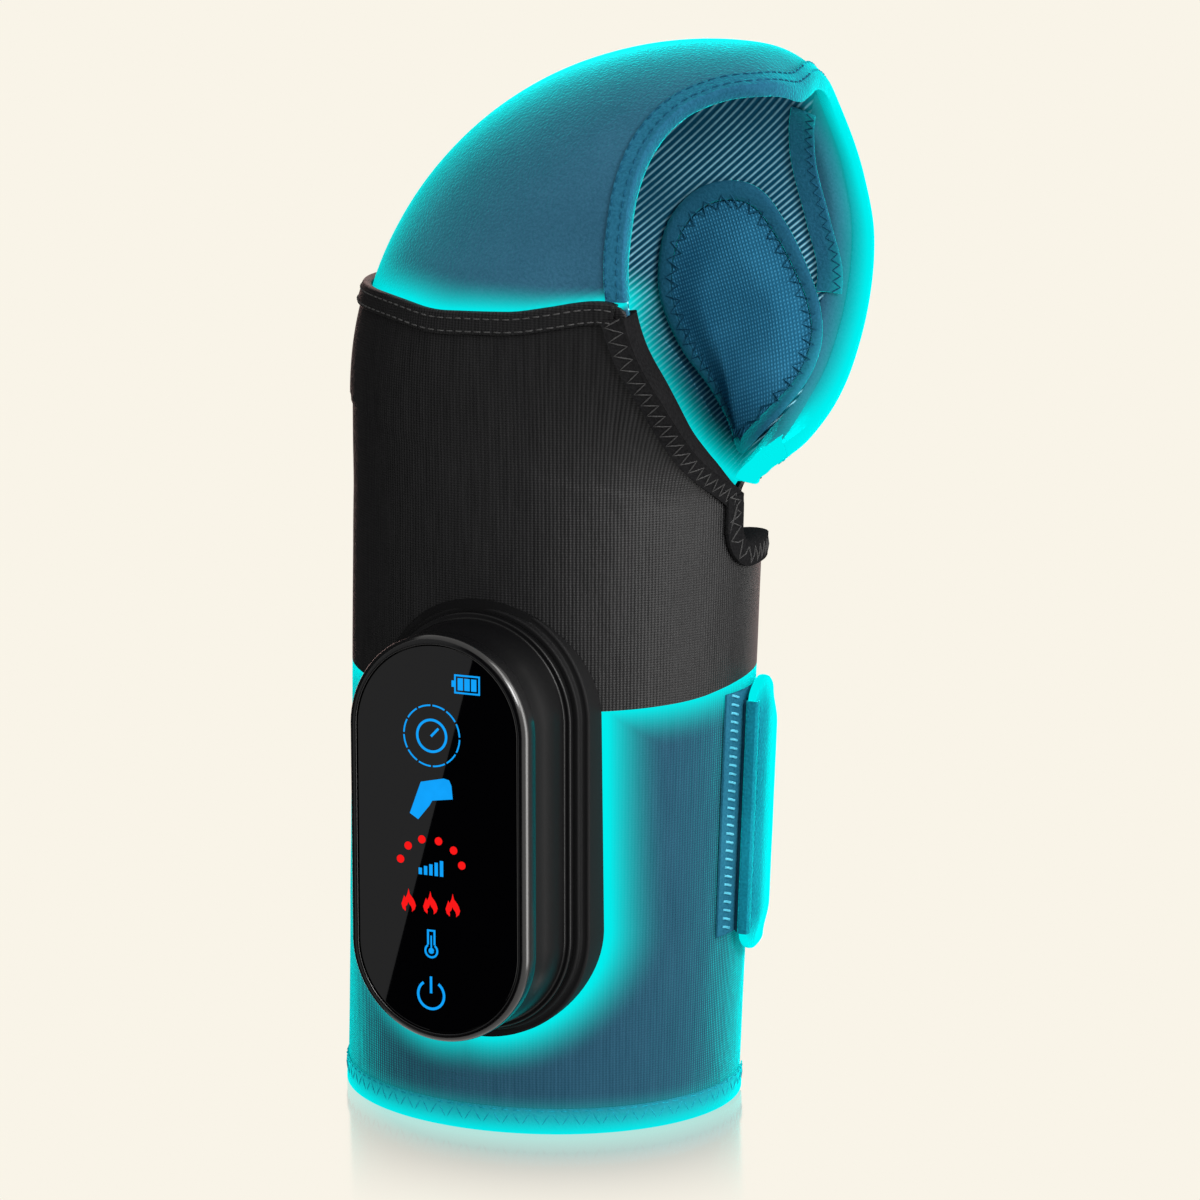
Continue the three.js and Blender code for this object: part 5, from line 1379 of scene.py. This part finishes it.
class KNEE_OT_icons(bpy.types.Operator):
    """Display lights of the touch lens: battery, timer, knee, levels, heat, thermometer and power"""

    bl_idname = "knee.icons"
    bl_label = "Display lights"
    bl_options = {"REGISTER", "UNDO"}

    def execute(self, context):
        s = context.scene.knee_controller
        # The battery, its frame t thick
        x0, z0, x1, z1 = 8.2, 47.2, 17.0, 53.2
        t = 0.55
        blue = [bar(x0, z0, x1, z0 + t), bar(x0, z1 - t, x1, z1), bar(x0, z0 + t, x0 + t, z1 - t),
                bar(x1 - t, z0 + t, x1, z1 - t), bar(x0 - 0.9, 49.2, x0, 51.2)]
        blue += [bar(x + 9.4, 48.3, x + 11.2, 52.1) for x in (0.0, 2.3, 4.6)]
        # The timer's dial, ring and hand
        blue += [ring(0.3, 33.1, 9.35, 9.85, 30 * i + 2.2, 30 * i + 27.8, 6) for i in range(12)]
        blue += [ring(0.3, 33.1, 4.6, 5.4, start, start + 180, 24) for start in (0, 180)]
        blue += [[(-0.2, 33.2), (0.35, 32.65), (2.9, 35.3), (2.4, 35.85)]]
        # The knee
        blue += [[(-3.6, 18.2), (4.3, 20.0), (6.2, 19.6), (7.0, 17.9), (7.4, 13.7), (0.3, 12.6), (-0.6, 11.0),
                  (-4.6, 6.2), (-7.5, 7.9), (-7.0, 9.2)]]
        # The levels
        for i in range(5):
            x = -4.6 + 1.85 * i
            blue += [bar(x, -11.3, x + 1.15, -9.2 + 0.72 * i)]
        # The thermometer
        blue += [ring(-0.4, -35.5, 1.75, 2.4, 125, 415, 22), ring(-0.4, -35.5, 0.0001, 0.95, 0, 350, 16)]
        blue += [bar(-1.85, -33.6, -1.2, -29.3), bar(0.4, -33.6, 1.05, -29.3), bar(-1.85, -29.3, 1.05, -28.7),
                 bar(-0.65, -34.6, -0.15, -30.6)]
        # The power mark
        blue += [ring(-0.6, -49.7, 4.1, 4.95, 125, 415, 40), bar(-1.0, -49.2, -0.2, -43.8)]
        lamp("blue_display_light", tuple(s.icon_blue), s.icon_strength)
        lens_shapes("blue_display", blue, s.icon_depth)

        dots = ((-10.9, -7.1), (-8.2, -2.6), (-3.4, -0.1), (2.4, -0.1), (7.6, -2.5), (10.4, -7.0))
        red = [arc(x, z, 1.3, 0, 345, 23) for x, z in dots] + [flame(x, -20.2, 7.0) for x in (-8.2, -0.6, 7.2)]
        lamp("red_display_light", tuple(s.icon_red), s.icon_strength)
        lens_shapes("red_display", red, s.icon_depth)
        return {"FINISHED"}


class KNEE_OT_works(bpy.types.Operator):
    """Finishes of the works inside the controller and between the layers"""

    bl_idname = "knee.works"
    bl_label = "Works"
    bl_options = {"REGISTER", "UNDO"}

    def execute(self, context):
        for name, *finish_values, metal, nodes in (
            ("plated_steel_look", "#B9BCC0", 0.3, 0.8, 0.05, 1.0,
             "clamp_screw_1 clamp_screw_2 clamp_screw_3 clamp_screw_4 charging_port pump_motor"),
            ("white_abs", "#DEDCD6", 0.45, 0.4, 0.1, 0.0, "backing_plate light_mask pump_head release_valve"),
            ("board_laminate_look", "#1C5A35", 0.4, 0.6, 0.08, 0.0, "display_board main_board"),
            ("cell_sleeve", "#3F5F9F", 0.35, 1.2, 0.05, 0.0, "battery_cell_1 battery_cell_2"),
            ("seal_rubber", "#141415", 0.6, 0.5, 0.1, 0.0, "housing_gasket buzzer heater_lead"),
            ("clear_silicone", "#CFD4D8", 0.25, 2.0, 0.05, 0.0, "calf_air_hose knee_air_hose"),
            ("bladder_urethane", "#8E9499", 0.3, 1.5, 0.1, 0.0, "calf_air_bladder knee_air_bladder"),
            ("carbon_film", "#3A2A1C", 0.5, 0.7, 0.1, 0.0, "calf_heating_film knee_heating_film"),
        ):
            moulded(name, *finish_values, Metallic=metal)
            for node in nodes.split():
                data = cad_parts[node].data
                data.materials.clear()
                data.materials.append(bpy.data.materials[name])
        return {"FINISHED"}


MIRROR = (0.5, 0.72, 0.7)
MIRROR_SHARE = 0.5
MIRROR_FALL = 2.6
FLOOR_RADIUS = 14.0
# Where the camera aims, in millimetres from the leg form's origin
AIM = (4.227, 35.341, 155.588)


def floor_paper(colour):
    """Pale backdrop paper that gives its own even tone. Near the part it shows a faint, darker traced mirror image
    of the part, whose strength is painted to fade with the distance from the floor's middle."""
    made, tree, shader = shining("backdrop", colour)
    away = add_node(tree, "ShaderNodeVectorMath", {0: coordinates(tree)}, operation="LENGTH")
    near = add_node(tree, "ShaderNodeMapRange", {"Value": away.outputs["Value"]}, From_Min=0.06, From_Max=0.152,
                    To_Min=1.0, To_Max=0.0)
    fading = arith(tree, "MULTIPLY", arith(tree, "POWER", near.outputs["Result"], MIRROR_FALL), MIRROR_SHARE)
    gloss = add_node(tree, "ShaderNodeBsdfGlossy", Color=(*MIRROR, 1), Roughness=0.12)
    both = add_node(tree, "ShaderNodeMixShader", {0: fading, 1: shader.outputs[0], 2: gloss.outputs[0]})
    tree.links.new(both.outputs[0], tree.nodes["Material Output"].inputs["Surface"])
    return made


def card(name, colour, place, facing, upright, size):
    """A flat studio card that only mirror-like surfaces see, its normal towards facing."""
    mesh = bmesh.new()
    bmesh.ops.create_grid(mesh, x_segments=1, y_segments=1, size=0.5)
    data = bpy.data.meshes.new(name)
    mesh.to_mesh(data)
    mesh.free()
    data.materials.append(shining(name + "_tone", colour)[0])
    holder = bpy.data.objects.new(name, data)
    across = upright.cross(facing).normalized()
    turn = Matrix((across, facing.cross(across).normalized(), facing.normalized())).transposed().to_4x4()
    holder.matrix_world = Matrix.Translation(place) @ turn @ Matrix.Diagonal((size[0], size[1], 1, 1))
    bpy.context.scene.collection.objects.link(holder)
    for ray in ("camera", "diffuse", "transmission", "volume_scatter", "shadow"):
        setattr(holder, "visible_" + ray, False)
    return holder


class KNEE_OT_stage(bpy.types.Operator):
    """Pale floor, soft studio lights and the camera"""

    bl_idname = "knee.stage"
    bl_label = "Stage"
    bl_options = {"REGISTER", "UNDO"}

    def execute(self, context):
        s = context.scene.knee_stage
        cream = tuple(s.floor_colour)
        scene = context.scene
        scene.view_settings.view_transform = "Standard"
        world = bpy.data.worlds.new("studio")
        world.use_nodes = True
        tree = world.node_tree
        background = tree.nodes["Background"]
        background.inputs["Strength"].default_value = s.ambient
        side = add_node(tree, "ShaderNodeVectorMath", {0: coordinates(tree, "Generated")}, operation="DOT_PRODUCT")
        side.inputs[1].default_value = (0.5, 0.23, 0.0)
        share = arith(tree, "ADD", side.outputs["Value"], 0.5)
        tone = ramp(tree, share, (0.0, (0.68, 0.67, 0.65)), (1.0, (1.25, 1.22, 1.18)))
        tree.links.new(tone, background.inputs["Color"])
        scene.world = world

        mesh = bmesh.new()
        bmesh.ops.create_circle(mesh, cap_ends=True, segments=96, radius=FLOOR_RADIUS)
        data = bpy.data.meshes.new("floor")
        mesh.to_mesh(data)
        mesh.free()
        data.materials.append(floor_paper(cream))
        floor = bpy.data.objects.new("floor", data)
        floor.location = (0, 0, -0.0002)
        floor.visible_diffuse = False
        floor.visible_glossy = False
        scene.collection.objects.link(floor)

        target = to_frame(Vector(AIM))
        a, e = s.azimuth, s.elevation
        back = Vector((math.sin(a) * math.cos(e), -math.cos(a) * math.cos(e), math.sin(e)))
        lens = bpy.data.cameras.new("camera")
        lens.lens = s.lens_length
        lens.sensor_width = 36.0
        lens.clip_end = 50.0
        camera = bpy.data.objects.new("camera", lens)
        camera.location = target + back * s.distance
        camera.rotation_euler = back.to_track_quat("Z", "Y").to_euler()
        scene.collection.objects.link(camera)
        scene.camera = camera

        # Cards mirrored in the lens: all of it grey, and black right of a slanting line
        middle = to_frame(Vector((CONTROLLER_X, -LENS_FRONT, CONTROLLER_Z)))
        mirrored = Vector((camera.location.x, 2 * middle.y - camera.location.y, camera.location.z))

        def seen(x, z, reach):
            """Where a place on the lens, in millimetres from its middle, mirrors the room."""
            spot = middle + Vector((x, 0, z)) * MM
            return spot + (spot - mirrored) * reach

        high, low = seen(12.7, 59.0, 0.4), seen(-18.9, -54.2, 0.4)
        upright = (high - low).normalized()
        facing = (mirrored - middle).normalized()
        facing = (facing - upright * facing.dot(upright)).normalized()
        right = upright.cross(facing).normalized()
        side = 1 if (seen(20, 0, 0.4) - seen(0, 0, 0.4)).dot(right) > 0 else -1
        centre = (high + low) / 2 + right * side * 0.3
        up = (0, 0, 1)
        pale = tuple(c / m for c, m in zip(cream, MIRROR))
        cards = [
            card(name, tone, Vector(place), Vector(normal), Vector(top), size)
            for name, tone, place, normal, top, size in (
                ("black_card", BLACK, centre, facing, upright, (0.6, 1.2)),
                ("grey_card", (0.4, 0.4, 0.4), seen(0, 0, 0.5), facing, upright, (1.0, 1.4)),
                ("pale_card", pale, (-0.7, 1.5, 0.5), (0.42, -0.91, 0), up, (1.6, 1.8)),
                ("window_card", (9.0, 8.9, 8.7), (0.85, -0.02, 0.3), (-1, 0.02, 0), up, (0.46, 1.2)),
                ("soft_card", (8.0, 7.9, 7.7), (0.62, -0.28, 0.92), (-0.6, 0.25, -0.8), up, (0.42, 0.42)),
                ("left_flag", (0.04, 0.04, 0.04), (-0.95, 0.15, 0.2), (1, -0.1, 0), up, (1.5, 2.0)),
                ("rear_flag", (0.3, 0.3, 0.3), (0.8, 1.35, 0.1), (-0.5, -0.86, 0), up, (1.1, 2.4)),
            )
        ]

        light = bpy.data.lights.new("key", "AREA")
        light.size = 0.4
        light.energy = 12.0
        holder = bpy.data.objects.new("key", light)
        place, aim = Vector((0.9, -0.55, 0.7)), Vector((0.0, 0.0, 0.18))
        holder.location = place
        holder.rotation_euler = (place - aim).to_track_quat("Z", "Y").to_euler()
        scene.collection.objects.link(holder)
        return {"FINISHED"}


class KNEE_PT_panel(bpy.types.Panel):
    """Lists the pieces of the knee massager"""

    bl_idname = "KNEE_PT_panel"
    bl_label = "Knee massager"
    bl_space_type = "VIEW_3D"
    bl_region_type = "UI"
    bl_category = "Knee massager"

    def draw(self, context):
        column = self.layout.column()
        for operator in OPERATORS:
            column.operator(operator.bl_idname)
        for group in ("knee_cloth", "knee_controller", "knee_stage"):
            settings = getattr(context.scene, group)
            for key in settings.__annotations__:
                column.prop(settings, key)


OPERATORS = (
    KNEE_OT_sleeve,
    KNEE_OT_hood,
    KNEE_OT_bindings,
    KNEE_OT_pads,
    KNEE_OT_gel_pack,
    KNEE_OT_flap,
    KNEE_OT_controller,
    KNEE_OT_icons,
    KNEE_OT_works,
    KNEE_OT_stage,
)
SETTINGS = (
    ("knee_cloth", KneeClothSettings),
    ("knee_controller", KneeControllerSettings),
    ("knee_stage", KneeStageSettings),
)


def register():
    for name, group in SETTINGS:
        bpy.utils.register_class(group)
        setattr(bpy.types.Scene, name, bpy.props.PointerProperty(type=group))
    for made in OPERATORS + (KNEE_PT_panel,):
        bpy.utils.register_class(made)


def unregister():
    for made in reversed(OPERATORS + (KNEE_PT_panel,)):
        bpy.utils.unregister_class(made)
    for name, group in SETTINGS:
        delattr(bpy.types.Scene, name)
        bpy.utils.unregister_class(group)


def main():
    register()
    bpy.ops.knee.sleeve()
    bpy.ops.knee.hood()
    bpy.ops.knee.bindings()
    bpy.ops.knee.pads()
    bpy.ops.knee.gel_pack()
    bpy.ops.knee.flap()
    bpy.ops.knee.controller()
    bpy.ops.knee.icons()
    bpy.ops.knee.works()
    bpy.ops.knee.stage()


if __name__ == "__main__":
    main()
